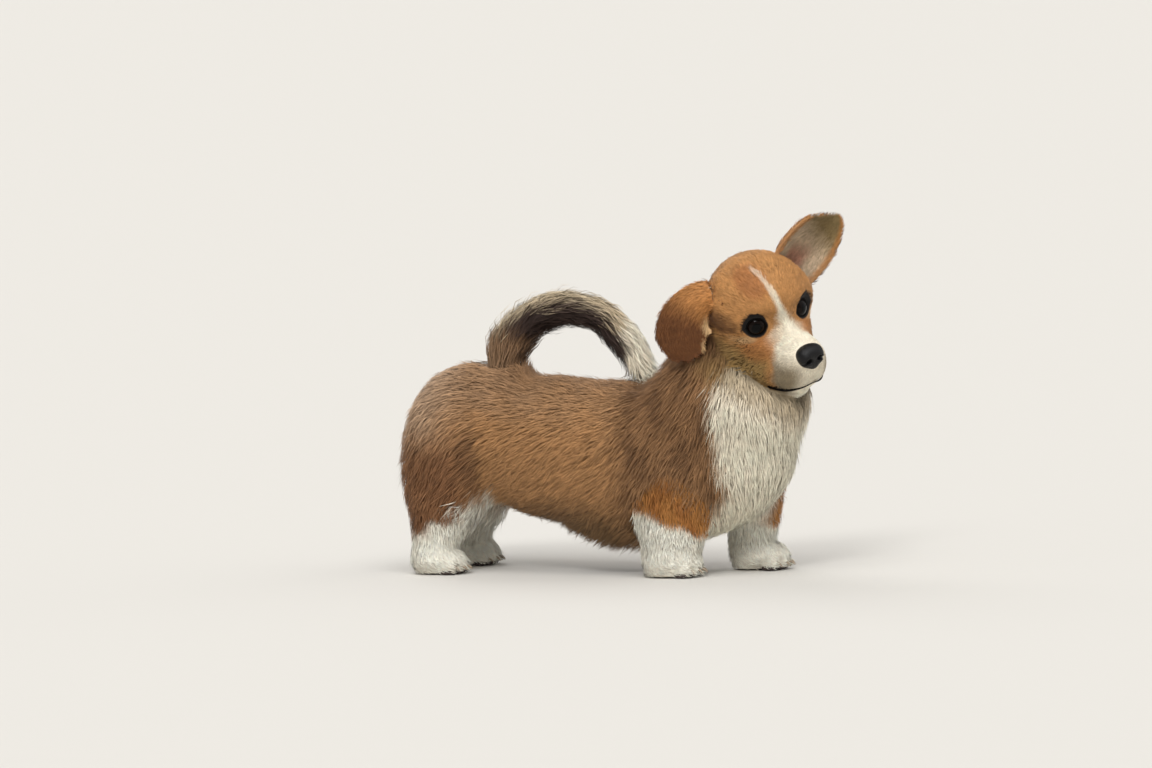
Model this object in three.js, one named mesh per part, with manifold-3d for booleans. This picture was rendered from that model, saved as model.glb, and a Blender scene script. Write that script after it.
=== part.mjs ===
// A standing corgi puppy about nine weeks old, life size, in millimetres.
// X runs from the tail to the chest, Y to the puppy's left, Z up from the floor.
// Each body part is a solid of its own, out to the tips of the coat.

import * as THREE from 'three';
import { ParametricGeometry } from 'three/addons/geometries/ParametricGeometry.js';
import { mergeVertices } from 'three/addons/utils/BufferGeometryUtils.js';
import Module from 'manifold-3d';

const wasm = await Module();
wasm.setup();

// Driving dimensions of the trunk. A mass is an ellipsoid: its middle and its half sizes.
const trunkMasses = {
  ribs: { middle: [20, -4, 89], half: [80, 54, 66] },
  loin: { middle: [-50, -1, 99], half: [72, 52, 59] },
  rump: { middle: [-120, 0, 115], half: [59, 50, 53] },
  shoulderRight: { middle: [66, -29, 98], half: [37, 26, 52] },
  shoulderLeft: { middle: [84, 22, 98], half: [37, 27, 52] },
  chest: { middle: [110, -8, 100], half: [53, 47, 52] },
  brisket: { middle: [72, -6, 80], half: [62, 38, 52] },
  throat: { middle: [123, -9, 138], half: [54, 49, 42] },
  thighRight: { middle: [-138, -27, 80], half: [40, 28, 55] },
  thighLeft: { middle: [-143, 27, 80], half: [40, 28, 55] },
};
const trunkSoftness = 22;

// A bone is a round limb that tapers from one ball to another.
const neckBone = { from: [84, -5, 136], fromRadius: 46, to: [124, -8, 196], toRadius: 38 };
const spineBone = { from: [-112, 0, 114], to: [92, -6, 102] };
const neckCore = { from: [96, -6, 150], to: [120, -8, 186] };

// The ruff parts the neck from the trunk on a slope from the withers to the breastbone.
const withers = [20, 0, 158];
const breastbone = [150, 0, 70];

// Legs, named by side. The left fore foot stands a step ahead of the right one.
// A tube has a line, its radius fore and aft along the line, and a share of that sideways.
// A leg parts from the trunk along the faces of a box, which leans over by some degrees.
const legs = {
  foreleg_right: {
    line: [[68, -32, 84], [67, -34, 58], [66, -36, 32], [63, -37, 14], [62, -37, 8]],
    radii: [36, 35, 29, 23, 21],
    paw: { middle: [68, -38, 12], half: [25, 18, 13] },
    seat: { middle: [69, -45, 22], half: [37, 38, 42], lean: 0 },
  },
  foreleg_left: {
    line: [[111, 20, 84], [110, 24, 58], [107, 26, 32], [104, 27, 14], [104, 27, 8]],
    radii: [30, 27, 22, 18.5, 17],
    paw: { middle: [114, 28, 12], half: [24, 18, 13] },
    seat: { middle: [112, 41, 22], half: [34, 36, 42], lean: 0 },
  },
  hindleg_right: {
    thigh: 'thighRight',
    line: [[-132, -28, 92], [-138, -32, 66], [-143, -36, 42], [-146, -38, 24], [-146, -38, 9]],
    radii: [22, 25, 24, 21.5, 20],
    paw: { middle: [-142, -38, 11], half: [24, 17, 12.5] },
    seat: { middle: [-162, -87, 46], half: [54, 80, 70], lean: -56 },
  },
  hindleg_left: {
    thigh: 'thighLeft',
    line: [[-137, 28, 92], [-143, 31, 66], [-150, 33, 42], [-153, 34, 24], [-153, 34, 9]],
    radii: [22, 25, 23, 20, 19],
    paw: { middle: [-149, 34, 11], half: [24, 17, 12.5] },
    seat: { middle: [-166, 87, 46], half: [54, 80, 70], lean: 56 },
  },
};
const legSideways = [0.6, 0.62, 0.72, 0.8, 0.84];
const legRows = 8;
const legAround = 14;
const toeCount = 4;
const toeHalf = [9, 4.6, 7];
const toeSoftness = 3;
const toeSpread = 0.66;
const toeAhead = 0.66;
const toeArc = 0.16;
const toeSink = 0.8;
const claw = { length: 6, radius: 1.4, sides: 6, lean: 0.45, sink: 0.5, drop: 1.5 };

// The tail is carried up and over the back, in three lengths that meet end to end.
const tail = {
  line: [
    [-110, 0, 150], [-102, 0, 170], [-90, 0, 187], [-73, 0, 201], [-52, 0, 209],
    [-30, 1, 210], [-10, 2, 204], [5, 3, 192], [16, 4, 178], [23, 5, 165],
  ],
  radii: [20, 17, 15, 14, 13.5, 13.5, 13, 12, 10.5, 7],
  sideways: [1, 1],
  around: 12,
};
const tailLengths = [
  { name: 'tail_base', start: 0, end: 0.36, rows: 8 },
  { name: 'tail_middle', start: 0.36, end: 0.7, rows: 7 },
  { name: 'tail_tip', start: 0.7, end: 1, rows: 7 },
];

// The head has a frame of its own: X out through the nose, Z up, zero between the eyes.
// It is turned to the right, tipped down and leaned over, in degrees.
const headPlace = [164, -30, 207];
const headTurn = { yaw: -28.75, pitch: 17.3, roll: 17.5 };
const skull = { middle: [-28, 0, 10], half: [41, 40.5, 35] };
const cheek = { middle: [-24, 16.5, -18], half: [26, 19.5, 25] };
const brow = { middle: [-5, 15, 14], half: [10, 10, 6] };
const orbit = { middle: [17, 25, 1], half: [12, 13, 11] };
const muzzle = { from: [4, 0, -18], fromRadius: 20, to: [27, 0, -27], toRadius: 20.5 };
const jaw = { from: [-8, 0, -39], fromRadius: 15, to: [19, 0, -44], toRadius: 10 };
const headSoftness = { cheek: 14, muzzle: 14, jaw: 6, brow: 9, orbit: 8 };
const headCore = { from: [-30, 0, 4], to: [16, 0, -24] };

const eyeMiddle = [-4, 18.8, 0.5];
const eyeRadius = 9.5;
const gaze = [0.86, 0.47, 0.1];
const lidThickness = 1.6;
const eyeOpening = { width: 18, height: 15 };

const noseMass = { middle: [41.5, 0, -18.5], half: [8, 12, 11.5] };
const nostril = { middle: [48.5, 5.6, -18], half: [5, 3, 2.4] };
const lipLine = [[6, 25, -45], [16, 21, -48], [26, 13, -47.5], [34, 5, -43], [36, 0, -39]];
const lipGroove = 1.1;
const lipStart = { behind: 22, above: 6 };

// An ear is a cupped leaf. Its rows run from the root to the tip along a bent line.
const earThickness = 3.2;
const earAround = 14;
const earLeft = {
  line: [[-26, 33, 18], [-23, 45, 31], [-19.5, 57, 44.5], [-16.5, 69.5, 54], [-14.5, 79, 60.5]],
  across: [[0.25, 0.52, -0.82], [0.1, 0.6, -0.79], [0, 0.62, -0.78]],
  opens: [0.97, -0.2, 0.1],
  halfWidth: [20, 22.5, 23.5, 21.5, 18.5, 13.5, 6],
  hollow: [14, 14, 12, 9, 6, 3, 0.5],
  rows: 10,
};
const earRight = {
  line: [[-40, -28, 14], [-41, -40, 19], [-44, -51, 14], [-45, -59.5, 2], [-42, -62, -13], [-34, -58, -26]],
  across: [[-0.25, -0.3, 0.92], [-0.7, -0.6, 0.35], [-0.75, -0.66, 0], [-0.74, -0.64, -0.2]],
  opens: [0.45, 0.6, -0.66],
  halfWidth: [15, 14, 14, 17, 21, 24, 20, 10],
  hollow: [7, 8, 7, 6, 4, 2.5, 1, 0.5],
  rows: 12,
};

// The long coat. Locks stand in rings parallel to the slope of the ruff, in rows below the
// belly, down the back of each thigh and around the tail. Angles are in degrees, and zero
// points to the breastbone, down, back or left. A lock's sizes follow it from root to tip.
const lockShape = {
  widths: [0, 0.95, 1, 0.62, 0],
  thicknesses: [0, 1, 1, 0.75, 0],
  lifts: [-9, -5.4, -2.2, -0.3, 0.6],
};
const lockSizes = {
  ruff: { length: 46, width: 22, thickness: 4.2 },
  belly: { length: 32, width: 19, thickness: 3.6 },
  breeches: { length: 36, width: 19, thickness: 3.8 },
  tail: { length: 38, width: 17, thickness: 3.6 },
};
const neckRings = [
  { height: 60, from: -170, to: 190, count: 15 },
  { height: 37, from: -158, to: 202, count: 16 },
  { height: 10, from: -170, to: 190, count: 16 },
];
const torsoRings = [
  { height: -15, from: -128, to: 128, count: 11 },
  { height: -38, from: -108, to: 108, count: 9 },
];
const bellyLine = { y: -2, z: 90 };
const bellyRows = [
  { from: -78, to: 26, angle: -48, count: 5 },
  { from: -72, to: 20, angle: 48, count: 5 },
];
const breechesRows = [
  { height: 30, angles: [-22, 22, 66] },
  { height: 8, angles: [-40, 4, 48, 92] },
  { height: -14, angles: [-22, 22, 66] },
];
const tailAngles = [45, 135, 225, 315];
const tailStagger = 45;
const tailJitter = 8;
const tailSpacing = 30;
const tailRowStart = 0.1;
const lies = { belly: [-0.8, 0, -0.6], breeches: [-0.3, 0, -0.95] };
const clearOfLegs = 6;
const lockSpread = { size: 0.16, turn: 0.18 };
const coreDepth = 5;
const tailCoreDepth = 4.5;
const seed = 11;
const drawFactor = 16807;
const drawLimit = 2147483647;

const gap = 0.3;
const reach = 220;
const traceSteps = 60;
const mergeDistance = 1e-3;
const atMiddle = 1e-4;

// How finely each form is divided: around, along and over its ends.
const trunkGrid = [26, 12, 7];
const neckGrid = [26, 3, 7];
const headGrid = [30, 8, 8];
const pawGrid = [18, 10];
const thighGrid = [18, 12];
const noseGrid = [14, 7];
const nostrilGrid = [8, 6];
const eyeGrid = [12, 8];
const lidSegments = 7;
const lipSteps = 16;
const lockSides = 4;

const roughness = { coat: 0.9, nose: 0.45, eye: 0.15 };
const colours = {
  sable: 0x8f7257,
  tan: 0xb57a45,
  cream: 0xd9cdb9,
  dark: 0x4f3f39,
  nose: 0x1e1a1c,
  eye: 0x1c1210,
};

// Distances to the masses and bones, negative inside.
function massDistance(point, mass, grow = 0) {
  const x = point.x - mass.middle[0];
  const y = point.y - mass.middle[1];
  const z = point.z - mass.middle[2];
  const [a, b, c] = mass.half;
  const near = Math.hypot(x / a, y / b, z / c);
  if (near < atMiddle) {
    return -Math.min(a, b, c) - grow;
  }
  const slope = Math.hypot(x / (a * a), y / (b * b), z / (c * c));
  return near * (near - 1) / slope - grow;
}

function boneDistance(point, bone, grow = 0) {
  const from = new THREE.Vector3(...bone.from);
  const along = new THREE.Vector3(...bone.to).sub(from);
  const offset = point.clone().sub(from);
  const part = THREE.MathUtils.clamp(offset.dot(along) / along.lengthSq(), 0, 1);
  const radius = THREE.MathUtils.lerp(bone.fromRadius, bone.toRadius, part);
  return offset.addScaledVector(along, -part).length() - radius - grow;
}

function softJoin(first, second, softness) {
  const share = Math.max(softness - Math.abs(first - second), 0) / softness;
  return Math.min(first, second) - share * share * softness / 4;
}

// What is left of the first shape outside the second.
function softCut(first, second, softness) {
  return -softJoin(-first, second, softness);
}

function mirrored(mass) {
  return { middle: [mass.middle[0], -mass.middle[1], mass.middle[2]], half: mass.half };
}

function trunkDistance(point) {
  const masses = Object.values(trunkMasses).map((mass) => massDistance(point, mass));
  const trunk = masses.reduce((a, b) => softJoin(a, b, trunkSoftness));
  return softJoin(trunk, boneDistance(point, neckBone), trunkSoftness);
}

// How far the coat is long, from 0 to 1, and the distance to the core under the locks.
function longCoat(point) {
  const front = THREE.MathUtils.smoothstep(point.x, 0, 44);
  const below = 1 - THREE.MathUtils.smoothstep(point.z, 52, 74);
  const back = 1 - THREE.MathUtils.smoothstep(point.x, -150, -126);
  const aroundThigh = back * (1 - THREE.MathUtils.smoothstep(point.z, 104, 124));
  return Math.max(front, below, aroundThigh);
}

function coreDistance(point) {
  return trunkDistance(point) + coreDepth * longCoat(point);
}

function headDistance(point) {
  let distance = massDistance(point, skull);
  for (const side of [cheek, mirrored(cheek)]) {
    distance = softJoin(distance, massDistance(point, side), headSoftness.cheek);
  }
  distance = softJoin(distance, boneDistance(point, muzzle), headSoftness.muzzle);
  distance = softJoin(distance, boneDistance(point, jaw), headSoftness.jaw);
  for (const side of [brow, mirrored(brow)]) {
    distance = softJoin(distance, massDistance(point, side), headSoftness.brow);
  }
  for (const side of [orbit, mirrored(orbit)]) {
    distance = softCut(distance, massDistance(point, side), headSoftness.orbit);
  }
  return distance;
}

function pawDistance(point, paw) {
  let distance = massDistance(point, paw);
  for (const toe of toes(paw)) {
    distance = softJoin(distance, massDistance(point, toe), toeSoftness);
  }
  return distance;
}

// Toes lie side by side across the front of a paw, the middle two a little ahead.
function toes(paw) {
  const list = [];
  for (let i = 0; i < toeCount; i += 1) {
    const across = (i - (toeCount - 1) / 2) / ((toeCount - 1) / 2);
    const ahead = paw.half[0] * (toeAhead - toeArc * across * across);
    const middle = [
      paw.middle[0] + ahead,
      paw.middle[1] + across * paw.half[1] * toeSpread,
      toeHalf[2] - toeSink,
    ];
    list.push({ middle, half: toeHalf });
  }
  return list;
}

// Moves a point out from a start along a direction until it meets a surface.
function meetSurface(start, direction, distanceAt) {
  const point = start.clone();
  let travelled = 0;
  for (let step = 0; step < traceSteps && travelled < reach; step += 1) {
    const distance = distanceAt(point);
    travelled -= distance;
    point.addScaledVector(direction, -distance);
  }
  return point;
}

// Wraps a capsule around a bone and draws its corners out to the surface.
function wrapBone(bone, distanceAt, around, along, capRows) {
  const from = new THREE.Vector3(...bone.from);
  const to = new THREE.Vector3(...bone.to);
  const length = from.distanceTo(to);
  const geometry = new THREE.CapsuleGeometry(1, length, capRows, around, along);
  const axis = to.clone().sub(from).normalize();
  const turn = new THREE.Quaternion().setFromUnitVectors(new THREE.Vector3(0, 1, 0), axis);
  const middle = from.clone().lerp(to, 0.5);
  drawOut(geometry, turn, middle, length, distanceAt);
  return solid(geometry);
}

// Wraps a ball around a mass, with its poles up and down.
function wrapMass(mass, distanceAt, around, rows) {
  const geometry = new THREE.SphereGeometry(1, around, rows);
  const turn = new THREE.Quaternion().setFromAxisAngle(new THREE.Vector3(1, 0, 0), Math.PI / 2);
  drawOut(geometry, turn, new THREE.Vector3(...mass.middle), 0, distanceAt);
  return solid(geometry);
}

function drawOut(geometry, turn, middle, length, distanceAt) {
  const positions = geometry.attributes.position;
  const normals = geometry.attributes.normal;
  for (let i = 0; i < positions.count; i += 1) {
    const height = THREE.MathUtils.clamp(positions.getY(i), -length / 2, length / 2);
    const start = new THREE.Vector3(0, height, 0).applyQuaternion(turn).add(middle);
    const direction = new THREE.Vector3().fromBufferAttribute(normals, i).applyQuaternion(turn);
    const met = meetSurface(start, direction.normalize(), distanceAt);
    positions.setXYZ(i, met.x, met.y, met.z);
  }
}

// A loft of closed rings from ringPoint(row, angle). Its two ends close on a point or a line.
function loft(ringPoint, rows, around) {
  const place = (u, v, target) => {
    const row = Math.round(v * rows);
    target.copy(ringPoint(row, u * 2 * Math.PI));
  };
  return solid(new ParametricGeometry(place, around, rows));
}

// Turns a closed geometry into a solid for joining and cutting.
function solid(geometry) {
  const bare = geometry.clone();
  bare.deleteAttribute('normal');
  bare.deleteAttribute('uv');
  const merged = mergeVertices(bare, mergeDistance);
  const corners = merged.index.array;
  const kept = [];
  for (let i = 0; i < corners.length; i += 3) {
    const [a, b, c] = [corners[i], corners[i + 1], corners[i + 2]];
    if (a !== b && b !== c && c !== a) {
      kept.push(a, b, c);
    }
  }
  const mesh = new wasm.Mesh({
    numProp: 3,
    vertProperties: new Float32Array(merged.attributes.position.array),
    triVerts: new Uint32Array(kept),
  });
  mesh.merge();
  const made = new wasm.Manifold(mesh);
  return made.volume() < 0 ? solid(insideOut(geometry)) : made;
}

function insideOut(geometry) {
  const flipped = geometry.clone();
  const corners = Array.from(flipped.index.array).reverse();
  flipped.setIndex(corners);
  return flipped;
}

function joined(solids) {
  return solids.reduce((a, b) => a.add(b));
}

// Keeps the largest closed surface of a solid.
function largest(piece) {
  const parts = piece.decompose();
  return parts.reduce((a, b) => (b.volume() > a.volume() ? b : a));
}

function mesh(name, piece, colour, rough) {
  const { vertProperties, triVerts, numProp } = largest(piece).getMesh();
  const geometry = new THREE.BufferGeometry();
  const corners = new Float32Array(vertProperties.length / numProp * 3);
  for (let i = 0; i < corners.length; i += 1) {
    corners[i] = vertProperties[Math.floor(i / 3) * numProp + i % 3];
  }
  geometry.setAttribute('position', new THREE.BufferAttribute(corners, 3));
  geometry.setIndex(new THREE.BufferAttribute(new Uint32Array(triVerts), 1));
  geometry.computeVertexNormals();
  const material = new THREE.MeshStandardMaterial({ color: colour, roughness: rough, metalness: 0 });
  const made = new THREE.Mesh(geometry, material);
  made.name = name;
  return made;
}

// The slope that parts the neck from the trunk, as a direction and a distance.
const slope = new THREE.Vector3(...breastbone).sub(new THREE.Vector3(...withers)).normalize();
const slopeUp = new THREE.Vector3(-slope.z, 0, slope.x);
const slopeHeight = slopeUp.dot(new THREE.Vector3(...withers));

function trunkSolid(distanceAt, grow) {
  const whole = wrapBone(spineBone, (p) => distanceAt(p) - grow, ...trunkGrid);
  return whole.trimByPlane(slopeUp.clone().negate().toArray(), -slopeHeight - grow);
}

function neckSolid(distanceAt, grow) {
  const whole = wrapBone(neckCore, (p) => distanceAt(p) - grow, ...neckGrid);
  return whole.trimByPlane(slopeUp.toArray(), slopeHeight + gap - grow);
}

const trunk = trunkSolid(coreDistance, 0);

// Draws a share between -1 and 1 from a seeded row of numbers.
let draws = seed;
function chance() {
  draws = (draws * drawFactor) % drawLimit;
  return draws / drawLimit * 2 - 1;
}

function outward(point, distanceAt) {
  const step = 0.5;
  const rise = (axis) => {
    const ahead = point.clone().addScaledVector(axis, step);
    const behind = point.clone().addScaledVector(axis, -step);
    return distanceAt(ahead) - distanceAt(behind);
  };
  const axes = [new THREE.Vector3(1, 0, 0), new THREE.Vector3(0, 1, 0), new THREE.Vector3(0, 0, 1)];
  return new THREE.Vector3(...axes.map(rise)).normalize();
}

// A lock lies along the coat from its root and rises to the coat's outer level at its tip.
function layLock(root, lie, size, distanceAt) {
  const rows = lockShape.lifts.length - 1;
  const length = size.length * (1 + lockSpread.size * chance());
  const width = size.width * (1 + lockSpread.size * chance());
  const turn = lockSpread.turn * chance();
  const places = [];
  let point = root.clone();
  for (const lift of lockShape.lifts) {
    const out = outward(point, distanceAt);
    const along = lie.clone().addScaledVector(out, -lie.dot(out)).normalize();
    along.applyAxisAngle(out, turn);
    const at = point.clone().addScaledVector(out, lift - distanceAt(point));
    places.push({ at, out, across: new THREE.Vector3().crossVectors(along, out) });
    point = at.clone().addScaledVector(along, length / rows);
  }
  return { places, width, thickness: size.thickness };
}

function lockSolid(lock, grow) {
  const rows = lock.places.length - 1;
  const ringPoint = (row, angle) => {
    const { at, out, across } = lock.places[row];
    const closed = row === 0 || row === rows;
    const half = closed ? 0 : lockShape.widths[row] * lock.width / 2 + grow;
    const deep = closed ? 0 : lockShape.thicknesses[row] * lock.thickness / 2 + grow;
    return at.clone()
      .addScaledVector(across, Math.cos(angle) * half)
      .addScaledVector(out, Math.sin(angle) * deep);
  };
  return loft(ringPoint, rows, lockSides);
}

function lockSolids(locks, grow) {
  return joined(locks.map((lock) => lockSolid(lock, grow)));
}

// Locks in rings around the neck and shoulders, at heights above or below the slope.
function ringLocks(rings, isFree) {
  const lie = slopeUp.clone().negate();
  const anchor = new THREE.Vector3(...neckCore.from);
  const locks = [];
  for (const ring of rings) {
    const offset = slopeHeight + ring.height - slopeUp.dot(anchor);
    const middle = anchor.clone().addScaledVector(slopeUp, offset);
    for (let i = 0; i < ring.count; i += 1) {
      const angle = THREE.MathUtils.degToRad(ring.from + (ring.to - ring.from) * (i + 0.5) / ring.count);
      const direction = slope.clone().multiplyScalar(Math.cos(angle));
      direction.y = Math.sin(angle);
      const root = meetSurface(middle, direction, coreDistance);
      if (isFree(root)) {
        locks.push(layLock(root, lie, lockSizes.ruff, trunkDistance));
      }
    }
  }
  return locks;
}

function bellyLocks() {
  const lie = new THREE.Vector3(...lies.belly);
  const locks = [];
  for (const row of bellyRows) {
    const angle = THREE.MathUtils.degToRad(row.angle);
    const direction = new THREE.Vector3(0, Math.sin(angle), -Math.cos(angle));
    for (let i = 0; i < row.count; i += 1) {
      const x = THREE.MathUtils.lerp(row.from, row.to, i / (row.count - 1));
      const start = new THREE.Vector3(x, bellyLine.y, bellyLine.z);
      const root = meetSurface(start, direction, coreDistance);
      locks.push(layLock(root, lie, lockSizes.belly, trunkDistance));
    }
  }
  return locks;
}

function breechesLocks(leg) {
  const lie = new THREE.Vector3(...lies.breeches);
  const thigh = trunkMasses[leg.thigh];
  const side = Math.sign(thigh.middle[1]);
  const locks = [];
  for (const row of breechesRows) {
    const start = new THREE.Vector3(...thigh.middle).add(new THREE.Vector3(0, 0, row.height));
    for (const degrees of row.angles) {
      const angle = THREE.MathUtils.degToRad(degrees);
      const direction = new THREE.Vector3(-Math.cos(angle), side * Math.sin(angle), 0);
      const root = meetSurface(start, direction, coreDistance);
      locks.push(layLock(root, lie, lockSizes.breeches, trunkDistance));
    }
  }
  return locks;
}

const headGroup = new THREE.Group();
headGroup.position.set(...headPlace);
headGroup.rotation.set(
  THREE.MathUtils.degToRad(headTurn.roll),
  THREE.MathUtils.degToRad(headTurn.pitch),
  THREE.MathUtils.degToRad(headTurn.yaw),
  'ZYX',
);
headGroup.updateMatrix();

function headSolid(grow) {
  return wrapBone(headCore, (p) => headDistance(p) - grow, ...headGrid);
}

function legSolid(leg) {
  const limb = { line: leg.line, radii: leg.radii, sideways: legSideways, around: legAround };
  const parts = [tubeSolid(limb, 0, 1, legRows)];
  parts.push(wrapMass(leg.paw, (p) => pawDistance(p, leg.paw), ...pawGrid));
  parts.push(leg.thigh ? wrapMass(trunkMasses[leg.thigh], coreDistance, ...thighGrid) : trunk);
  for (const toe of toes(leg.paw)) {
    parts.push(clawSolid(toe));
  }
  return joined(parts).trimByPlane([0, 0, 1], 0);
}

// The room a leg takes out of the trunk.
function seatSolid(seat, grow) {
  const [x, y, z] = seat.half.map((half) => 2 * (half + grow));
  const geometry = new THREE.BoxGeometry(x, y, z);
  geometry.rotateX(THREE.MathUtils.degToRad(seat.lean));
  geometry.translate(...seat.middle);
  return solid(geometry);
}

// A claw is a small cone that points forward and down from the tip of its toe.
function clawSolid(toe) {
  const geometry = new THREE.ConeGeometry(claw.radius, claw.length, claw.sides);
  geometry.rotateZ(-Math.PI / 2 - claw.lean);
  const front = toe.middle[0] + toe.half[0] - claw.sink;
  geometry.translate(front, toe.middle[1], toe.middle[2] - claw.drop);
  return solid(geometry);
}

// A tube's rings stand square to its line, and its radius follows the line.
function tubeSolid(tube, start, end, rows) {
  const curve = new THREE.CatmullRomCurve3(tube.line.map((p) => new THREE.Vector3(...p)));
  const ringPoint = (row, angle) => {
    const inner = THREE.MathUtils.clamp(row - 1, 0, rows - 2) / (rows - 2);
    const part = THREE.MathUtils.lerp(start, end, inner);
    const along = curve.getTangent(part);
    const side = new THREE.Vector3(0, 1, 0);
    const up = new THREE.Vector3().crossVectors(along, side).normalize();
    const closed = row === 0 || row === rows;
    const radius = closed ? 0 : between(tube.radii, part);
    return curve.getPoint(part)
      .addScaledVector(side, Math.cos(angle) * radius * between(tube.sideways, part))
      .addScaledVector(up, Math.sin(angle) * radius);
  };
  return loft(ringPoint, rows, tube.around);
}

const tailCurve = new THREE.CatmullRomCurve3(tail.line.map((p) => new THREE.Vector3(...p)));
const tailLength = tailCurve.getLength();

function tailSolid(length) {
  const start = length.start > 0 ? length.start + gap / tailLength : 0;
  const core = { ...tail, radii: tail.radii.map((radius) => radius - tailCoreDepth) };
  return tubeSolid(core, start, length.end, length.rows);
}

// Locks around one length of the tail lie towards its tip.
function tailLocks(length) {
  const size = lockSizes.tail;
  const locks = [];
  const rows = Math.round((length.end - length.start) * tailLength / tailSpacing);
  for (let row = 0; row < rows; row += 1) {
    const start = THREE.MathUtils.lerp(length.start, length.end, (row + tailRowStart) / rows);
    for (const degrees of tailAngles) {
      const angle = THREE.MathUtils.degToRad(degrees + tailStagger * (row % 2) + tailJitter * chance());
      const span = size.length * (1 + lockSpread.size * chance()) / tailLength;
      const places = lockShape.lifts.map((lift, k) => {
        const part = Math.min(start + span * k / (lockShape.lifts.length - 1), 1);
        const along = tailCurve.getTangent(part);
        const side = new THREE.Vector3(0, 1, 0);
        const up = new THREE.Vector3().crossVectors(along, side).normalize();
        const out = side.multiplyScalar(Math.cos(angle)).addScaledVector(up, Math.sin(angle));
        const at = tailCurve.getPoint(part).addScaledVector(out, between(tail.radii, part) + lift);
        return { at, out, across: new THREE.Vector3().crossVectors(along, out) };
      });
      const slimmer = between(tail.radii, start + span / 2) / Math.max(...tail.radii.slice(2));
      const width = size.width * slimmer * (1 + lockSpread.size * chance());
      locks.push({ places, width, thickness: size.thickness * slimmer });
    }
  }
  return locks;
}

// Reads a short list of values or directions as a smooth run from 0 to 1.
function between(list, part) {
  const place = part * (list.length - 1);
  const index = Math.min(Math.floor(place), list.length - 2);
  const share = place - index;
  if (typeof list[0] === 'number') {
    return THREE.MathUtils.lerp(list[index], list[index + 1], share);
  }
  return new THREE.Vector3(...list[index]).lerp(new THREE.Vector3(...list[index + 1]), share);
}

function earSolid(ear, grow) {
  const line = new THREE.CatmullRomCurve3(ear.line.map((p) => new THREE.Vector3(...p)));
  const ringPoint = (row, angle) => {
    const part = row / ear.rows;
    const forward = line.getTangent(part);
    const across = between(ear.across, part);
    across.addScaledVector(forward, -across.dot(forward)).normalize();
    const open = new THREE.Vector3().crossVectors(across, forward).normalize();
    if (open.dot(new THREE.Vector3(...ear.opens)) < 0) {
      open.negate();
    }
    const pinched = row === 0 || row === ear.rows;
    const side = Math.cos(angle);
    const thickness = pinched ? 0 : Math.sin(angle) * (earThickness / 2 + grow);
    const depth = thickness - between(ear.hollow, part) * (1 - side * side);
    const width = (between(ear.halfWidth, part) + grow) * side;
    return line.getPoint(part).addScaledVector(across, width).addScaledVector(open, depth);
  };
  return loft(ringPoint, ear.rows, earAround);
}

// Places a shape on one eye. The side is 1 for the left eye and -1 for the right one.
function onEye(geometry, side) {
  const look = new THREE.Vector3(gaze[0], gaze[1] * side, gaze[2]).normalize();
  const turn = new THREE.Matrix4().lookAt(look, new THREE.Vector3(), new THREE.Vector3(0, 0, 1));
  geometry.applyMatrix4(turn);
  geometry.translate(eyeMiddle[0], eyeMiddle[1] * side, eyeMiddle[2]);
  return solid(geometry);
}

function eyeBall(radius, side) {
  return onEye(new THREE.SphereGeometry(radius, ...eyeGrid), side);
}

// The opening between the lids: two arcs that meet at the corners of the eye.
function eyeCut(side) {
  const outline = new THREE.Shape();
  const half = eyeOpening.width / 2;
  outline.moveTo(-half, 0);
  outline.quadraticCurveTo(0, eyeOpening.height, half, 0);
  outline.quadraticCurveTo(0, -eyeOpening.height, -half, 0);
  const settings = { depth: eyeRadius * 2, bevelEnabled: false, curveSegments: lidSegments };
  return onEye(new THREE.ExtrudeGeometry(outline, settings), side);
}

function lipCut() {
  const points = [];
  for (const side of [1, -1]) {
    const half = lipLine.map(([x, y, z]) => new THREE.Vector3(x, y * side, z));
    points.push(...(side === 1 ? half : half.reverse().slice(1)));
  }
  const onSkin = points.map((point) => {
    const start = new THREE.Vector3(point.x - lipStart.behind, 0, point.z + lipStart.above);
    return meetSurface(start, point.clone().sub(start).normalize(), headDistance);
  });
  const line = new THREE.CatmullRomCurve3(onSkin);
  const section = new THREE.Shape();
  section.absarc(0, 0, lipGroove, 0, 2 * Math.PI);
  const settings = { steps: lipSteps, extrudePath: line, bevelEnabled: false, curveSegments: 2 };
  return solid(new THREE.ExtrudeGeometry(section, settings));
}

function noseSolid(grow) {
  return wrapMass(noseMass, (p) => massDistance(p, noseMass, grow), ...noseGrid);
}

function noseWithNostrils() {
  const cuts = [nostril, mirrored(nostril)];
  const holes = cuts.map((mass) => wrapMass(mass, (p) => massDistance(p, mass), ...nostrilGrid));
  return noseSolid(0).subtract(joined(holes));
}

// The head with its lids and sockets, the line of the mouth and the seat of the nose.
function wholeHead() {
  let piece = headSolid(0);
  for (const side of [1, -1]) {
    piece = piece.add(eyeBall(eyeRadius + lidThickness, side));
    piece = piece.subtract(eyeBall(eyeRadius + gap, side));
    piece = piece.subtract(eyeCut(side));
  }
  piece = piece.subtract(noseSolid(gap));
  return piece.subtract(lipCut());
}

const headMatrix = headGroup.matrix.toArray();
const headRoom = joined([headSolid(gap), earSolid(earRight, gap), earSolid(earLeft, gap)]);
const headInBody = headRoom.transform(headMatrix);
const seats = joined(Object.values(legs).map((leg) => seatSolid(leg.seat, gap)));
const seatTop = legs.foreleg_right.seat.middle[2] + legs.foreleg_right.seat.half[2];

const neckLocks = ringLocks(neckRings, () => true);
const torsoLocks = ringLocks(torsoRings, (root) => root.z > seatTop + clearOfLegs).concat(bellyLocks());
const neckLocksGrown = lockSolids(neckLocks, gap);
const hanging = neckLocksGrown.add(lockSolids(torsoLocks, gap));

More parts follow.
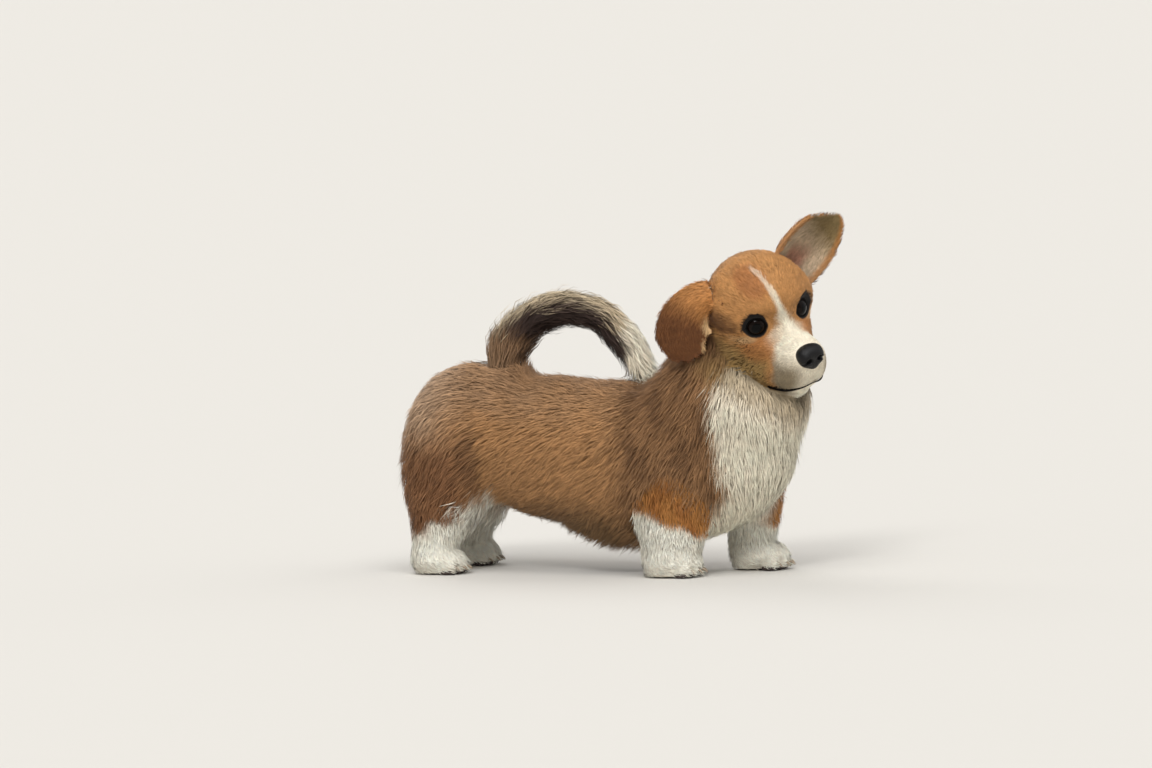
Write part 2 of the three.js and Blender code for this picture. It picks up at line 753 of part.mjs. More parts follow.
const puppy = new THREE.Group();
const torso = trunk.subtract(seats).add(lockSolids(torsoLocks, 0)).subtract(neckLocksGrown);
puppy.add(mesh('torso', torso, colours.sable, roughness.coat));
const neck = neckSolid(coreDistance, 0).add(lockSolids(neckLocks, 0)).subtract(headInBody);
puppy.add(mesh('neck', neck, colours.sable, roughness.coat));
for (const [name, leg] of Object.entries(legs)) {
  const side = Math.sign(leg.seat.middle[1]);
  const room = seatSolid(leg.seat, 0).trimByPlane([0, side, 0], gap);
  let piece = legSolid(leg).intersect(room);
  if (leg.thigh) {
    piece = piece.add(lockSolids(breechesLocks(leg), 0).trimByPlane([0, side, 0], gap));
    piece = piece.subtract(trunkSolid(coreDistance, gap).subtract(seatSolid(leg.seat, 0)));
  }
  puppy.add(mesh(name, piece.subtract(hanging), colours.cream, roughness.coat));
}
let overTail = joined([trunkSolid(trunkDistance, gap), neckLocksGrown]);
for (const length of tailLengths) {
  const locks = tailLocks(length);
  const piece = tailSolid(length).add(lockSolids(locks, 0)).subtract(overTail);
  puppy.add(mesh(length.name, piece, colours.dark, roughness.coat));
  overTail = overTail.add(lockSolids(locks, gap));
}

headGroup.add(mesh('head', wholeHead(), colours.tan, roughness.coat));
headGroup.add(mesh('nose', noseWithNostrils(), colours.nose, roughness.nose));
headGroup.add(mesh('ear_left', earSolid(earLeft, 0).subtract(headSolid(gap)), colours.tan, roughness.coat));
headGroup.add(mesh('ear_right', earSolid(earRight, 0).subtract(headSolid(gap)), colours.tan, roughness.coat));
headGroup.add(mesh('eye_left', eyeBall(eyeRadius, 1), colours.eye, roughness.eye));
headGroup.add(mesh('eye_right', eyeBall(eyeRadius, -1), colours.eye, roughness.eye));
puppy.add(headGroup);

// The origin is on the floor under the middle of the whole puppy.
puppy.updateMatrixWorld(true);
const box = new THREE.Box3().setFromObject(puppy, true);
const middle = box.getCenter(new THREE.Vector3());
puppy.position.set(-middle.x, -middle.y, -box.min.z);

export default puppy;
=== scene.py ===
import math
import time

import bmesh
import bpy
import numpy as np
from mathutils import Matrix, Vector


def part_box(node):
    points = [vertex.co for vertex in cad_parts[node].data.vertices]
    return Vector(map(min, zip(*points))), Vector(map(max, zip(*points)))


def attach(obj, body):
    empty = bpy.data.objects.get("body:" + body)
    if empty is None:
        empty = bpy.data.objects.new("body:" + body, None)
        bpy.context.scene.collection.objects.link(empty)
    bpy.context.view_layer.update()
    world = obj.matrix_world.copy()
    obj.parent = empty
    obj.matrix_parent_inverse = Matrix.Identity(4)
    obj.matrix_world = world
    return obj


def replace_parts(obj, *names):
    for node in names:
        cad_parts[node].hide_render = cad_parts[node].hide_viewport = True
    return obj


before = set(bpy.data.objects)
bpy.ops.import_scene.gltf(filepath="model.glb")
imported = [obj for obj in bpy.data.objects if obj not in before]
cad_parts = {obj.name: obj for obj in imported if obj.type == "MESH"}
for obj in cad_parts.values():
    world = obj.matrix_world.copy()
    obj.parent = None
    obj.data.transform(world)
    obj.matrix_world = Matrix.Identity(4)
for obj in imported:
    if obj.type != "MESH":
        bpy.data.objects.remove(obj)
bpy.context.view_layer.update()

import openvdb
from mathutils import Matrix, Vector
from mathutils.kdtree import KDTree

# A corgi puppy standing still. Sizes are in millimetres here and become metres in each mesh.
# X runs to the chest, Y to the puppy's left, Z up. The head has a frame of its own.

trunkForm = {  # an ellipsoid: its middle and its half sizes, all joined softly
    "masses": [
        [(20, -4, 89), (80, 54, 66)],  # ribs
        [(-50, -1, 99), (72, 52, 59)],  # loin
        [(-120, 0, 115), (59, 50, 53)],  # rump
        [(66, -29, 98), (37, 26, 52)],  # right shoulder
        [(84, 22, 98), (37, 27, 52)],  # left shoulder
        [(110, -8, 100), (53, 47, 52)],  # chest
        [(72, -6, 80), (62, 38, 52)],  # brisket
        [(123, -9, 138), (54, 49, 42)],  # throat
        [(-138, -27, 80), (40, 28, 55)],  # right thigh
        [(-143, 27, 80), (40, 28, 55)],  # left thigh
    ],
    "neck": [(84, -5, 136), 46, (124, -8, 196), 38],
    "softness": 22,
    "spine": [(-112, 0, 114), (92, -6, 102)],
    "neckAxis": [(96, -6, 150), (120, -8, 186)],
    "coatDepth": 7.0,  # from the skin to the tips, on the back
    "longCoatDepth": 10.5,  # the same in the ruff, the breeches and below the belly
    "fringe": [(20, -8, 43), (64, 31, 31)],  # how low the coat hangs below the belly
}
legForms = {
    "foreRight": {
        "line": [(68, -32, 84), (67, -34, 58), (66, -36, 32), (63, -37, 14), (62, -37, 8)],
        "radii": [36, 35, 29, 23, 21],
        "paw": [(68, -38, 12), (25, 18, 13)],
    },
    "foreLeft": {
        "line": [(111, 20, 84), (110, 24, 58), (107, 26, 32), (104, 27, 14), (104, 27, 8)],
        "radii": [30, 27, 22, 18.5, 17],
        "paw": [(114, 28, 12), (24, 18, 13)],
    },
    "hindRight": {
        "line": [(-132, -28, 92), (-138, -32, 66), (-143, -36, 42), (-146, -38, 24), (-146, -38, 9)],
        "radii": [22, 25, 23, 19.5, 18],
        "paw": [(-142, -38, 11), (24, 17, 12.5)],
    },
    "hindLeft": {
        "line": [(-137, 28, 92), (-143, 31, 66), (-150, 33, 42), (-153, 34, 24), (-153, 34, 9)],
        "radii": [22, 25, 23, 20, 19],
        "paw": [(-149, 34, 11), (24, 17, 12.5)],
    },
}
legShape = {
    "sideways": [0.6, 0.62, 0.72, 0.8, 0.84],  # width as a share of the depth, down the leg
    "coatDepths": [6, 5.5, 4.5, 3, 2.2],
    "softness": 12,
    "toes": 4,
    "toeHalf": (9, 4.6, 7),
    "toeSoftness": 3,
    "pawCoat": 1.8,
    "soleHeight": 1.2,
}
tailForm = {
    "line": [
        (-101, 0, 146), (-96, 0, 168), (-87, 0, 186), (-72, 0, 200.5), (-52, 0, 209),
        (-30, 1, 210), (-10, 2, 204), (5, 3, 192), (16, 4, 178), (23, 5, 165),
    ],
    "radii": [27, 21, 17, 15, 14.5, 14, 13.5, 13.5, 13, 10.5],
    "skinShare": 0.38,  # radius of the tail itself inside its brush
    "softness": 20,
}
headForm = {
    "place": (164, -30, 207),
    "turn": (-28.75, 17.3, 17.5),  # yaw, pitch and roll in degrees
    "skull": [(-28, 0, 10), (41, 40.5, 35)],
    "cheek": [(-22, 18.5, -22), (27, 20, 27)],
    "temple": [(-18, 29, 6), (16, 13, 14)],
    "brow": [(-5, 15, 14), (10, 10, 6)],
    "orbit": [(17, 22, 1), (13, 15, 12)],
    "muzzle": [(4, 0, -18), 20, (27, 0, -27), 20.5],
    "flew": [(-5, 13, -38), 18, (22, 7, -38), 15],
    "jaw": [(-10, 0, -45), 17, (17, 0, -49), 11.5],
    "core": [(-30, 0, 4), (16, 0, -24)],
    "joinBody": 14,
    "softness": {"cheek": 14, "temple": 12, "muzzle": 14, "flew": 8, "jaw": 6, "brow": 9, "orbit": 8},
    "noseTip": (47, 0, -17),
}
eyeForm = {
    "middle": (-4, 18.8, 0.5),
    "radius": 9.5,
    "gaze": (0.87, 0.45, 0.12),
    "halfWidth": 13.0,  # of the opening between the lids
    "upper": 10.4,
    "lower": 8.6,
    "roundness": 2.8,
    "lidThickness": 1.2,
    "rimRadius": 0.8,
}
lipForm = {
    "line": [(1, 26, -44), (8, 24, -47.5), (16, 20, -48.5), (25, 14, -47),
             (33, 7, -44.5), (37, 0, -41.5)],
    "depth": 3.2,
    "halfWidth": 1.7,
}
earForms = {
    "left": {
        "line": [(-26, 33, 18), (-23, 45, 31), (-19.5, 55.5, 43.5), (-17, 64.3, 54.5), (-16, 70, 65)],
        "across": [(0.25, 0.52, -0.82), (0.1, 0.6, -0.79), (0, 0.62, -0.78)],
        "opens": (0.97, -0.2, 0.1),
        "halfWidth": [18.5, 20, 21, 21.7, 22, 21.6, 20.8, 19.6, 18, 16.2, 13.6, 10, 1.0],
        "hollow": [14, 14, 12, 9, 6, 3, 0.5],
    },
    "right": {
        "line": [(-40, -28, 14), (-41, -40, 19), (-44, -51, 14), (-45, -59.5, 2), (-42, -62, -13),
                 (-35.5, -59, -23.5)],
        "across": [(-0.25, -0.3, 0.92), (-0.7, -0.6, 0.35), (-0.75, -0.66, 0), (-0.74, -0.64, -0.2)],
        "opens": (0.45, 0.6, -0.66),
        "halfWidth": [8, 11.5, 13, 15.5, 19.5, 22.5, 18.5, 8],
        "hollow": [7, 8, 7, 6, 4, 2.5, 1, 0.5],
    },
}
earShape = {"thickness": 3.0, "samples": 36, "softness": 4}


started = time.time()


def report(*words):  # a line for each stage, with the seconds so far
    print(*words, f"at {time.time() - started:.0f} s", flush=True)


def linear(colour):  # an sRGB hex value as linear light
    parts = [int(colour[i:i + 2], 16) / 255 for i in (1, 3, 5)]
    return np.array([c / 12.92 if c <= 0.04045 else ((c + 0.055) / 1.055) ** 2.4 for c in parts])


def ease(value, start, end):
    share = np.clip((value - start) / (end - start), 0, 1)
    return share * share * (3 - 2 * share)


def mixed(first, second, share):
    share = np.asarray(share)[..., None]
    return first * (1 - share) + second * share


def sizes(vectors):
    return np.sqrt(np.einsum("ij,ij->i", vectors, vectors))


def unit(vectors):
    return vectors / (sizes(vectors)[:, None] + 1e-9)


def dots(first, second):
    return np.einsum("ij,ij->i", first, second)


def turned(yaw, pitch, roll):
    whole = Matrix.Rotation(yaw, 3, "Z") @ Matrix.Rotation(pitch, 3, "Y")
    return np.array(whole @ Matrix.Rotation(roll, 3, "X"))


headTurn = turned(*[math.radians(a) for a in headForm["turn"]])
headPlace = np.array(headForm["place"], float)


def toHead(points):
    return ((points - headPlace) @ headTurn).astype(np.float32)


def fromHead(points):
    return np.asarray(points, float) @ headTurn.T + headPlace


def smoothLine(points, perPart=6):  # a curve through points, as short straight parts
    points = np.array(points, float)
    ends = np.vstack([2 * points[0] - points[1], points, 2 * points[-1] - points[-2]])
    made = []
    for i in range(len(points) - 1):
        a, b, c, d = ends[i:i + 4]
        for k in range(perPart):
            t = k / perPart
            made.append(0.5 * (2 * b + (c - a) * t + (2 * a - 5 * b + 4 * c - d) * t * t
                               + (3 * b - a - 3 * c + d) * t ** 3))
    return np.array(made + [points[-1]])


def between(values, share):  # a short list read as a smooth run from 0 to 1
    values = np.array(values, float)
    places = np.linspace(0, 1, len(values))
    if values.ndim == 1:
        return np.interp(share, places, values)
    return np.stack([np.interp(share, places, values[:, i]) for i in range(values.shape[1])], -1)


def nearLine(points, line):  # the nearest place on a line, as a share of it, and the way from it
    best = np.full(len(points), 1e9, np.float32)
    share = np.zeros(len(points), np.float32)
    offset = np.zeros((len(points), 3), np.float32)
    for i in range(len(line) - 1):
        part = (line[i + 1] - line[i]).astype(np.float32)
        start = points - line[i].astype(np.float32)
        t = np.clip(start @ part / (part @ part), 0, 1)
        off = start - t[:, None] * part
        far = np.einsum("ij,ij->i", off, off)
        closer = far < best
        best = np.where(closer, far, best)
        share = np.where(closer, (i + t) / (len(line) - 1), share)
        offset[closer] = off[closer]
    return share, offset


def massDistance(points, mass):
    offset = points - np.float32(mass[0])
    half = np.float32(mass[1])
    near = sizes(offset / half)
    return near * (near - 1) / (sizes(offset / half ** 2) + 1e-9)


def boneDistance(points, bone):
    start = np.float32(bone[0])
    along = np.float32(bone[2]) - start
    share = np.clip((points - start) @ along / (along @ along), 0, 1)
    return sizes(points - start - share[:, None] * along) - bone[1] - (bone[3] - bone[1]) * share


def softJoin(first, second, softness):
    share = np.maximum(softness - np.abs(first - second), 0) / softness
    return np.minimum(first, second) - share * share * softness / 4


def softCut(first, second, softness):  # what is left of the first outside the second
    return -softJoin(-first, second, softness)


def folded(q):  # both sides of the head on one
    return np.stack([q[:, 0], np.abs(q[:, 1]), q[:, 2]], -1)


def mirrored(mass):
    return [(mass[0][0], -mass[0][1], mass[0][2]), mass[1]]


def longCoat(points):  # where the coat hangs long, from 0 to 1
    x, z = points[:, 0], points[:, 2]
    back = (1 - ease(x, -150, -126)) * (1 - ease(z, 104, 124))
    return np.maximum(np.maximum(ease(x, 0, 44), 1 - ease(z, 52, 74)), back)


def trunkField(points, bare):
    field = None
    for mass in trunkForm["masses"]:
        other = massDistance(points, mass)
        field = other if field is None else softJoin(field, other, trunkForm["softness"])
    field = softJoin(field, boneDistance(points, trunkForm["neck"]), trunkForm["softness"])
    if bare:
        deep = trunkForm["longCoatDepth"] - trunkForm["coatDepth"]
        nape = 3 * ease(points[:, 2], 165, 205)
        return field + trunkForm["coatDepth"] + deep * longCoat(points) - nape
    return softJoin(field, massDistance(points, trunkForm["fringe"]), 10)


def headCoat(q):  # depth of the coat on the head: least on the muzzle, most on the cheeks
    cheeks = ease(-q[:, 0], -4, 22) * ease(np.abs(q[:, 1]), 10, 26) * (1 - ease(q[:, 2], -8, 14))
    fromEye = sizes(folded(q) - np.float32(eyeForm["middle"]))
    depth = 1.2 + 1.6 * ease(-q[:, 0], -16, 10) + 2.8 * cheeks
    return depth * (0.45 + 0.55 * ease(fromEye, 12, 24))


def eyeMiddle(side):
    return np.array(eyeForm["middle"]) * (1, side, 1)


def eyeAxes(side):
    look = np.array(eyeForm["gaze"]) * (1, side, 1)
    look = look / np.linalg.norm(look)
    across = np.cross((0, 0, 1), look)
    across = across / np.linalg.norm(across)
    return look, across, np.cross(look, across)


def eyeOpening(q, side):  # below zero within the opening between the lids
    look, across, up = eyeAxes(side)
    offset = q - np.float32(eyeMiddle(side))
    ahead = np.maximum(offset @ np.float32(look), 0.5)
    a = offset @ np.float32(across) / ahead * eyeForm["radius"]
    b = offset @ np.float32(up) / ahead * eyeForm["radius"]
    arch = 1 - np.abs(a / eyeForm["halfWidth"]) ** eyeForm["roundness"]
    over = b - eyeForm["upper"] * arch
    under = -b - eyeForm["lower"] * arch
    return np.maximum(over, under) * ahead / eyeForm["radius"] * 0.8


def headField(q, bare):
    soft = headForm["softness"]
    field = massDistance(q, headForm["skull"])
    for form in ("cheek", "temple"):
        for mass in (headForm[form], mirrored(headForm[form])):
            field = softJoin(field, massDistance(q, mass), soft[form])
    field = softJoin(field, boneDistance(q, headForm["muzzle"]), soft["muzzle"])
    for sign in (1, -1):
        flip = np.float32((1, sign, 1))
        field = softJoin(field, boneDistance(q * flip, headForm["flew"]), soft["flew"])
    field = softJoin(field, boneDistance(q, headForm["jaw"]), soft["jaw"])
    for mass in (headForm["brow"], mirrored(headForm["brow"])):
        field = softJoin(field, massDistance(q, mass), soft["brow"])
    for mass in (headForm["orbit"], mirrored(headForm["orbit"])):
        field = softCut(field, massDistance(q, mass), soft["orbit"])
    if not bare:
        return field
    return field + headCoat(q)


def lidField(q, field):  # lids over the eyes, the sockets behind them and the line of the lips
    for side in (1, -1):
        middle = np.float32(eyeMiddle(side))
        lid = sizes(q - middle) - eyeForm["radius"] - eyeForm["lidThickness"]
        field = softJoin(field, lid, 5)
        field = softCut(field, np.maximum(eyeOpening(q, side), sizes(q - middle) - 30), 0.8)
    near = (q[:, 0] > -8) & (q[:, 2] < -26) & (np.abs(field) < 12)
    if near.any() and lipLine is not None:
        far = sizes(nearLine(q[near], lipLine)[1]) / lipForm["halfWidth"]
        field[near] += lipForm["depth"] * np.exp(-far ** 2)
    return field


def toes(paw):
    middle, half = paw
    made = []
    for i in range(legShape["toes"]):
        across = (i - 1.5) / 1.5
        ahead = half[0] * (0.66 - 0.16 * across * across)
        made.append([(middle[0] + ahead, middle[1] + across * half[1] * 0.66,
                      legShape["toeHalf"][2] - 0.8), legShape["toeHalf"]])
    return made


def legField(points, leg, bare):
    share, offset = nearLine(points, leg["curve"])
    coat = between(legShape["coatDepths"], share) if bare else 0
    radius = between(leg["radii"], share) - coat
    wide = between(leg["radii"], share) * between(legShape["sideways"], share) - coat
    level = offset[:, 0] ** 2 + offset[:, 2] ** 2
    near = np.sqrt(level / radius ** 2 + offset[:, 1] ** 2 / wide ** 2)
    slope = np.sqrt(level / radius ** 4 + offset[:, 1] ** 2 / wide ** 4) + 1e-9
    field = near * (near - 1) / slope
    paw = massDistance(points, leg["paw"])
    for toe in toes(leg["paw"]):
        paw = softJoin(paw, massDistance(points, toe), legShape["toeSoftness"])
    return softJoin(field, paw + (legShape["pawCoat"] if bare else 0), 8)


def tailField(points, bare):
    share, offset = nearLine(points, tailCurve)
    radius = between(tailForm["radii"], share)
    return sizes(offset) - (radius * tailForm["skinShare"] if bare else radius)


def earPlace(q, ear):  # place on an ear: share from root to tip, across it, and out of its cup
    share, offset = nearLine(q, ear["curve"])
    forward = between(ear["forward"], share)
    across = between(ear["side"], share)
    out = between(ear["open"], share)
    width = between(ear["halfWidth"], share)
    hollow = between(ear["hollow"], share)
    a = dots(offset, across)
    o = dots(offset, out)
    beyond = dots(offset, forward)
    s = np.clip(a / width, -1, 1)
    for _ in range(3):  # slide along the cup to the nearest place
        slope = 2 * hollow * s
        gapA, gapO = a - width * s, o + hollow * (1 - s * s)
        steep = width ** 2 + slope ** 2 + 2 * hollow * abs(gapO)
        s = np.clip(s + (gapA * width + gapO * slope) / steep, -1, 1)
    gapA, gapO = a - width * s, o + hollow * (1 - s * s)
    return share, s, gapA, gapO, beyond


def earField(q, ear):
    field = np.full(len(q), reach["far"], np.float32)
    low, high = ear["curve"].min(0) - reach["ear"], ear["curve"].max(0) + reach["ear"]
    near = np.all((q > low) & (q < high), axis=1)
    if near.any():
        _, _, gapA, gapO, beyond = earPlace(q[near], ear)
        field[near] = np.sqrt(gapA ** 2 + gapO ** 2 + beyond ** 2) - earShape["thickness"] / 2
    return field


def setUpForms():
    for leg in legForms.values():
        leg["curve"] = smoothLine(leg["line"], 4)
    for ear in earForms.values():
        curve = smoothLine(ear["line"], 7)
        forward = unit(np.gradient(curve, axis=0))
        spots = np.linspace(0, 1, len(curve))
        across = between(ear["across"], spots)
        across = unit(across - dots(across, forward)[:, None] * forward)
        out = np.cross(across, forward)
        out = out * np.sign(out @ np.array(ear["opens"]))[:, None]
        ear.update(curve=curve, forward=forward, side=across, open=out)


lipLine = None
tailCurve = smoothLine(tailForm["line"], 4)
setUpForms()


def onlyNear(near, field, points, *others):
    found = np.full(len(points), reach["far"], np.float32)
    if near.any():
        found[near] = field(points[near], *others)
    return found


def faceField(q, bare):
    field = headField(q, bare)
    return lidField(q, field) if bare else field


reach = {"headBehind": 70, "headBelow": 105, "legTop": 126, "legAround": 80, "tailBelow": 110,
         "tailAhead": 70, "ear": 45, "far": 60.0}  # each part is only asked this far around it


def partFields(points, bare):  # the distance to each part of the puppy
    x, z = points[:, 0], points[:, 2]
    q = toHead(points)
    fields = {"trunk": trunkField(points, bare)}
    near = (x > reach["headBehind"]) & (z > reach["headBelow"])
    fields["head"] = onlyNear(near, faceField, q, bare)
    for name, leg in legForms.items():
        near = (z < reach["legTop"]) & (np.abs(x - leg["paw"][0][0]) < reach["legAround"])
        fields[name] = onlyNear(near, legField, points, leg, bare)
    near = (z > reach["tailBelow"]) & (x < reach["tailAhead"])
    fields["tail"] = onlyNear(near, tailField, points, bare)
    if bare:
        for name, ear in earForms.items():
            fields["ear" + name.title()] = earField(q, ear)
    return fields


def wholeField(points, bare):
    fields = partFields(points, bare)
    field = softJoin(fields["trunk"], fields["head"], headForm["joinBody"])
    for name in legForms:
        field = softJoin(field, fields[name], legShape["softness"])
    field = softJoin(field, fields["tail"], tailForm["softness"])
    if bare:
        for name in earForms:
            field = softJoin(field, fields["ear" + name.title()], earShape["softness"])
    sole = (legShape["soleHeight"] if bare else 0) - points[:, 2]
    return -softJoin(-field, -sole, 1.5)


def inChunks(points, bare, size=250000):
    starts = range(0, len(points), size)
    return np.concatenate([wholeField(points[i:i + size], bare) for i in starts])


def bareField(points):  # the skin lies where this is zero
    return inChunks(points, True)


def coatField(points):  # the coat ends where this is zero
    return inChunks(points, False)


def slopeOf(points, step=0.35):  # which way the skin's field rises, and how fast
    rise = []
    for axis in np.eye(3, dtype=np.float32) * step:
        rise.append(bareField(points + axis) - bareField(points - axis))
    return np.stack(rise, -1) / (2 * step)


def settle(points, rounds):  # draws points onto the skin
    for _ in range(rounds):
        rise = slopeOf(points)
        field = bareField(points)
        move = field / np.maximum(dots(rise, rise), 0.2)
        points = points - np.clip(move, -1.2, 1.2)[:, None] * rise
    return points.astype(np.float32)


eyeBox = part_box("eye_left")
eyeAt = (np.array(eyeBox[0]) + np.array(eyeBox[1])) * 500
shift = eyeAt - fromHead([eyeForm["middle"]])[0]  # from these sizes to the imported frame
print("shift", [round(float(v), 3) for v in shift])


# The skin, from the forms above.
skinSettings = {
    "voxel": 1.5,
    "fineFrom": -14,  # the head is finer ahead of this place
    "fineDepth": 4,  # and this near to the head's own form
    "fineOff": 3,
    "low": (-186, -72, -3),
    "high": (214, 76, 288),
    "band": 4.6,
    "shade": 0.88,  # the skin is this much darker than the hair on it: painted shade deep in the coat
}


def fieldGrid(low, high, spacing, field):  # the values of a field at evenly spaced places
    axes = [np.arange(a, b, spacing, dtype=np.float32) for a, b in zip(low, high)]
    places = np.stack(np.meshgrid(*axes, indexing="ij"), -1).reshape(-1, 3)
    return field(places).reshape([len(a) for a in axes])


def doubled(values):  # a grid with a value between each two
    for axis in range(3):
        values = np.moveaxis(values, axis, 0)
        wider = np.empty((2 * len(values) - 1,) + values.shape[1:], np.float32)
        wider[::2] = values
        wider[1::2] = (values[1:] + values[:-1]) / 2
        values = np.moveaxis(wider, 0, axis)
    return values


def surfacePoints(values, low, spacing):
    grid = openvdb.FloatGrid(background=10.0)
    grid.copyFromArray(np.ascontiguousarray(values))
    points, quads = grid.convertToQuads(isovalue=0.0)
    return points * spacing + np.float32(low), quads


def makeSkin():
    spacing = skinSettings["voxel"]
    fine = doubled(fieldGrid(skinSettings["low"], skinSettings["high"], spacing * 2, bareField))
    close = np.argwhere(np.abs(fine) < skinSettings["band"])
    places = (close * spacing + np.array(skinSettings["low"])).astype(np.float32)
    fine[tuple(close.T)] = bareField(places)
    return surfacePoints(fine, skinSettings["low"], spacing)


def buildMesh(name, points, corners, counts):
    mesh = bpy.data.meshes.new(name)
    mesh.vertices.add(len(points))
    mesh.vertices.foreach_set("co", ((points + shift) / 1000).astype(np.float32).ravel())
    mesh.loops.add(len(corners))
    mesh.loops.foreach_set("vertex_index", np.asarray(corners, np.int32).ravel())
    mesh.polygons.add(len(counts))
    starts = np.concatenate([[0], np.cumsum(counts)[:-1]]).astype(np.int32)
    mesh.polygons.foreach_set("loop_start", starts)
    mesh.update(calc_edges=True)
    mesh.validate()
    mesh.polygons.foreach_set("use_smooth", np.ones(len(counts), bool))
    return mesh


def addPiece(name, mesh, material):
    piece = bpy.data.objects.new(name, mesh)
    bpy.context.scene.collection.objects.link(piece)
    mesh.materials.append(material)
    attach(piece, "root")
    return piece


def meshPoints(mesh):
    values = np.empty(len(mesh.vertices) * 3, np.float32)
    mesh.vertices.foreach_get("co", values)
    return values.reshape(-1, 3) * 1000 - shift.astype(np.float32)


points, quads = makeSkin()
report("skin", len(points), "points", len(quads), "quads")
lipStart = np.float32([(x - 22, 0, z + 6) for x, y, z in lipForm["line"]])
lipAim = unit(np.float32(lipForm["line"]) - lipStart)
met = lipStart.copy()
for _ in range(40):
    met = met - lipAim * headField(met, True)[:, None]
lipLine = smoothLine(np.vstack([met, (met * (1, -1, 1))[::-1][1:]]), 4)
points = settle(points, 1)
skinMesh = buildMesh("skin", points, quads.ravel(), np.full(len(quads), 4))
work = bmesh.new()
work.from_mesh(skinMesh)
work.verts.ensure_lookup_table()
front = toHead(points)
fineArea = (front[:, 0] > skinSettings["fineFrom"]) & (bareField(points) < skinSettings["fineOff"])
fineArea &= headField(front, True) < skinSettings["fineDepth"]
fineEdges = [edge for edge in work.edges if all(fineArea[v.index] for v in edge.verts)]
bmesh.ops.subdivide_edges(work, edges=fineEdges, cuts=1, use_grid_fill=True)
bmesh.ops.triangulate(work, faces=[face for face in work.faces if len(face.verts) > 4])
work.to_mesh(skinMesh)
work.free()
points = settle(meshPoints(skinMesh), 2)
skinMesh.vertices.foreach_set("co", ((points + shift) / 1000).astype(np.float32).ravel())
skinMesh.update()
report("skin refined", len(skinMesh.vertices), "points", len(skinMesh.polygons), "faces")


# The unwrap: each part is rolled out around its own line, on a field of its own.
charts = {
    "trunk": {"line": trunkForm["spine"], "round": 50, "field": (0.01, 0.01, 0.59, 0.49)},
    "neck": {"line": trunkForm["neckAxis"], "round": 42, "field": (0.61, 0.01, 0.99, 0.28)},
    "head": {"line": None, "round": 38, "field": (0.61, 0.30, 0.99, 0.64)},
    "foreRight": {"round": 20, "field": (0.01, 0.51, 0.15, 0.75)},
    "foreLeft": {"round": 20, "field": (0.16, 0.51, 0.30, 0.75)},
    "hindRight": {"round": 20, "field": (0.31, 0.51, 0.45, 0.75)},
    "hindLeft": {"round": 20, "field": (0.46, 0.51, 0.60, 0.75)},
    "tail": {"round": 8, "field": (0.01, 0.77, 0.39, 0.99)},
    "earLeft": {"field": (0.41, 0.77, 0.69, 0.99)},
    "earRight": {"field": (0.71, 0.77, 0.99, 0.99)},
}
partNames = list(charts)
for name, leg in legForms.items():
    charts[name]["line"] = leg["line"]
charts["tail"]["line"] = tailCurve
charts["head"]["line"] = headForm["core"]
slopeUp = unit(np.array([[88.0, 0, 130.0]]))[0]  # across the ruff, from the chest to the nape
ruffHeight = float(np.array([20, 0, 158]) @ slopeUp)


def isPart(parts, *names):
    return np.isin(parts, [partNames.index(name) for name in names])


def partsOf(points):
    fields = partFields(points.astype(np.float32), True)
    ordered = [fields[n] if n in fields else np.full(len(points), 99.0) for n in partNames]
    found = np.argmin(np.stack(ordered), 0)
    high = points @ slopeUp > ruffHeight + 4
    return np.where((found == partNames.index("trunk")) & high, partNames.index("neck"), found)


def rolled(points, part, about):  # angle around and height along the line of a part
    chart = charts[part]
    if part.startswith("ear"):
        ear = earForms[part[3:].lower()]
        share, s = earPlace(toHead(points), ear)[:2]
        side = earPlace(toHead(about), ear)[3]
        return np.where(side > 0, 0.24 + 0.22 * s, 0.76 + 0.22 * s), 0.03 + 0.94 * share
    if part == "head":
        points, about = toHead(points), toHead(about)
    line = np.array(chart["line"], float)
    length = sizes(np.diff(line, axis=0)).sum()

    def around(places):
        share, offset = nearLine(places.astype(np.float32), line)
        tangent = unit(between(unit(np.gradient(line, axis=0)), share) if len(line) > 2
                       else np.tile(line[1] - line[0], (len(places), 1)))
        upward = unit(np.cross(tangent, (0.0, 1.0, 0.0)))
        angle = np.arctan2(offset[:, 1], dots(offset, upward))
        lean = np.clip(dots(offset, tangent) / (sizes(offset) + 1e-6), -1, 1)
        return angle, share * length + chart["round"] * np.arcsin(lean)

    angle, height = around(points)
    middle, _ = around(about)
    angle = middle + (angle - middle + math.pi) % (2 * math.pi) - math.pi
    cap = chart["round"] * math.pi / 2
    return np.clip(angle / (2 * math.pi) * 0.96 + 0.5, 0, 1), (height + cap) / (length + 2 * cap)


def unwrapped(points, parts, about):
    uv = np.zeros((len(points), 2), np.float32)
    for index, name in enumerate(partNames):
        chosen = parts == index
        if chosen.any():
            left, low, right, high = charts[name]["field"]
            u, v = rolled(points[chosen], name, about[chosen])
            uv[chosen] = np.stack([left + u * (right - left), low + v * (high - low)], -1)
    return uv


skinParts = partsOf(points)
loopPoint = np.empty(len(skinMesh.loops), np.int32)
skinMesh.loops.foreach_get("vertex_index", loopPoint)
faceSizes = np.empty(len(skinMesh.polygons), np.int32)
skinMesh.polygons.foreach_get("loop_total", faceSizes)
faceMiddles = np.empty(len(skinMesh.polygons) * 3, np.float32)
skinMesh.polygons.foreach_get("center", faceMiddles)
faceMiddles = faceMiddles.reshape(-1, 3) * 1000 - shift.astype(np.float32)
loopFace = np.repeat(np.arange(len(faceSizes)), faceSizes)
faceParts = partsOf(faceMiddles)
skinUv = unwrapped(points[loopPoint], faceParts[loopFace], faceMiddles[loopFace])
skinMesh.uv_layers.new(name="OFBake").data.foreach_set("uv", skinUv.ravel())
report("unwrap done")
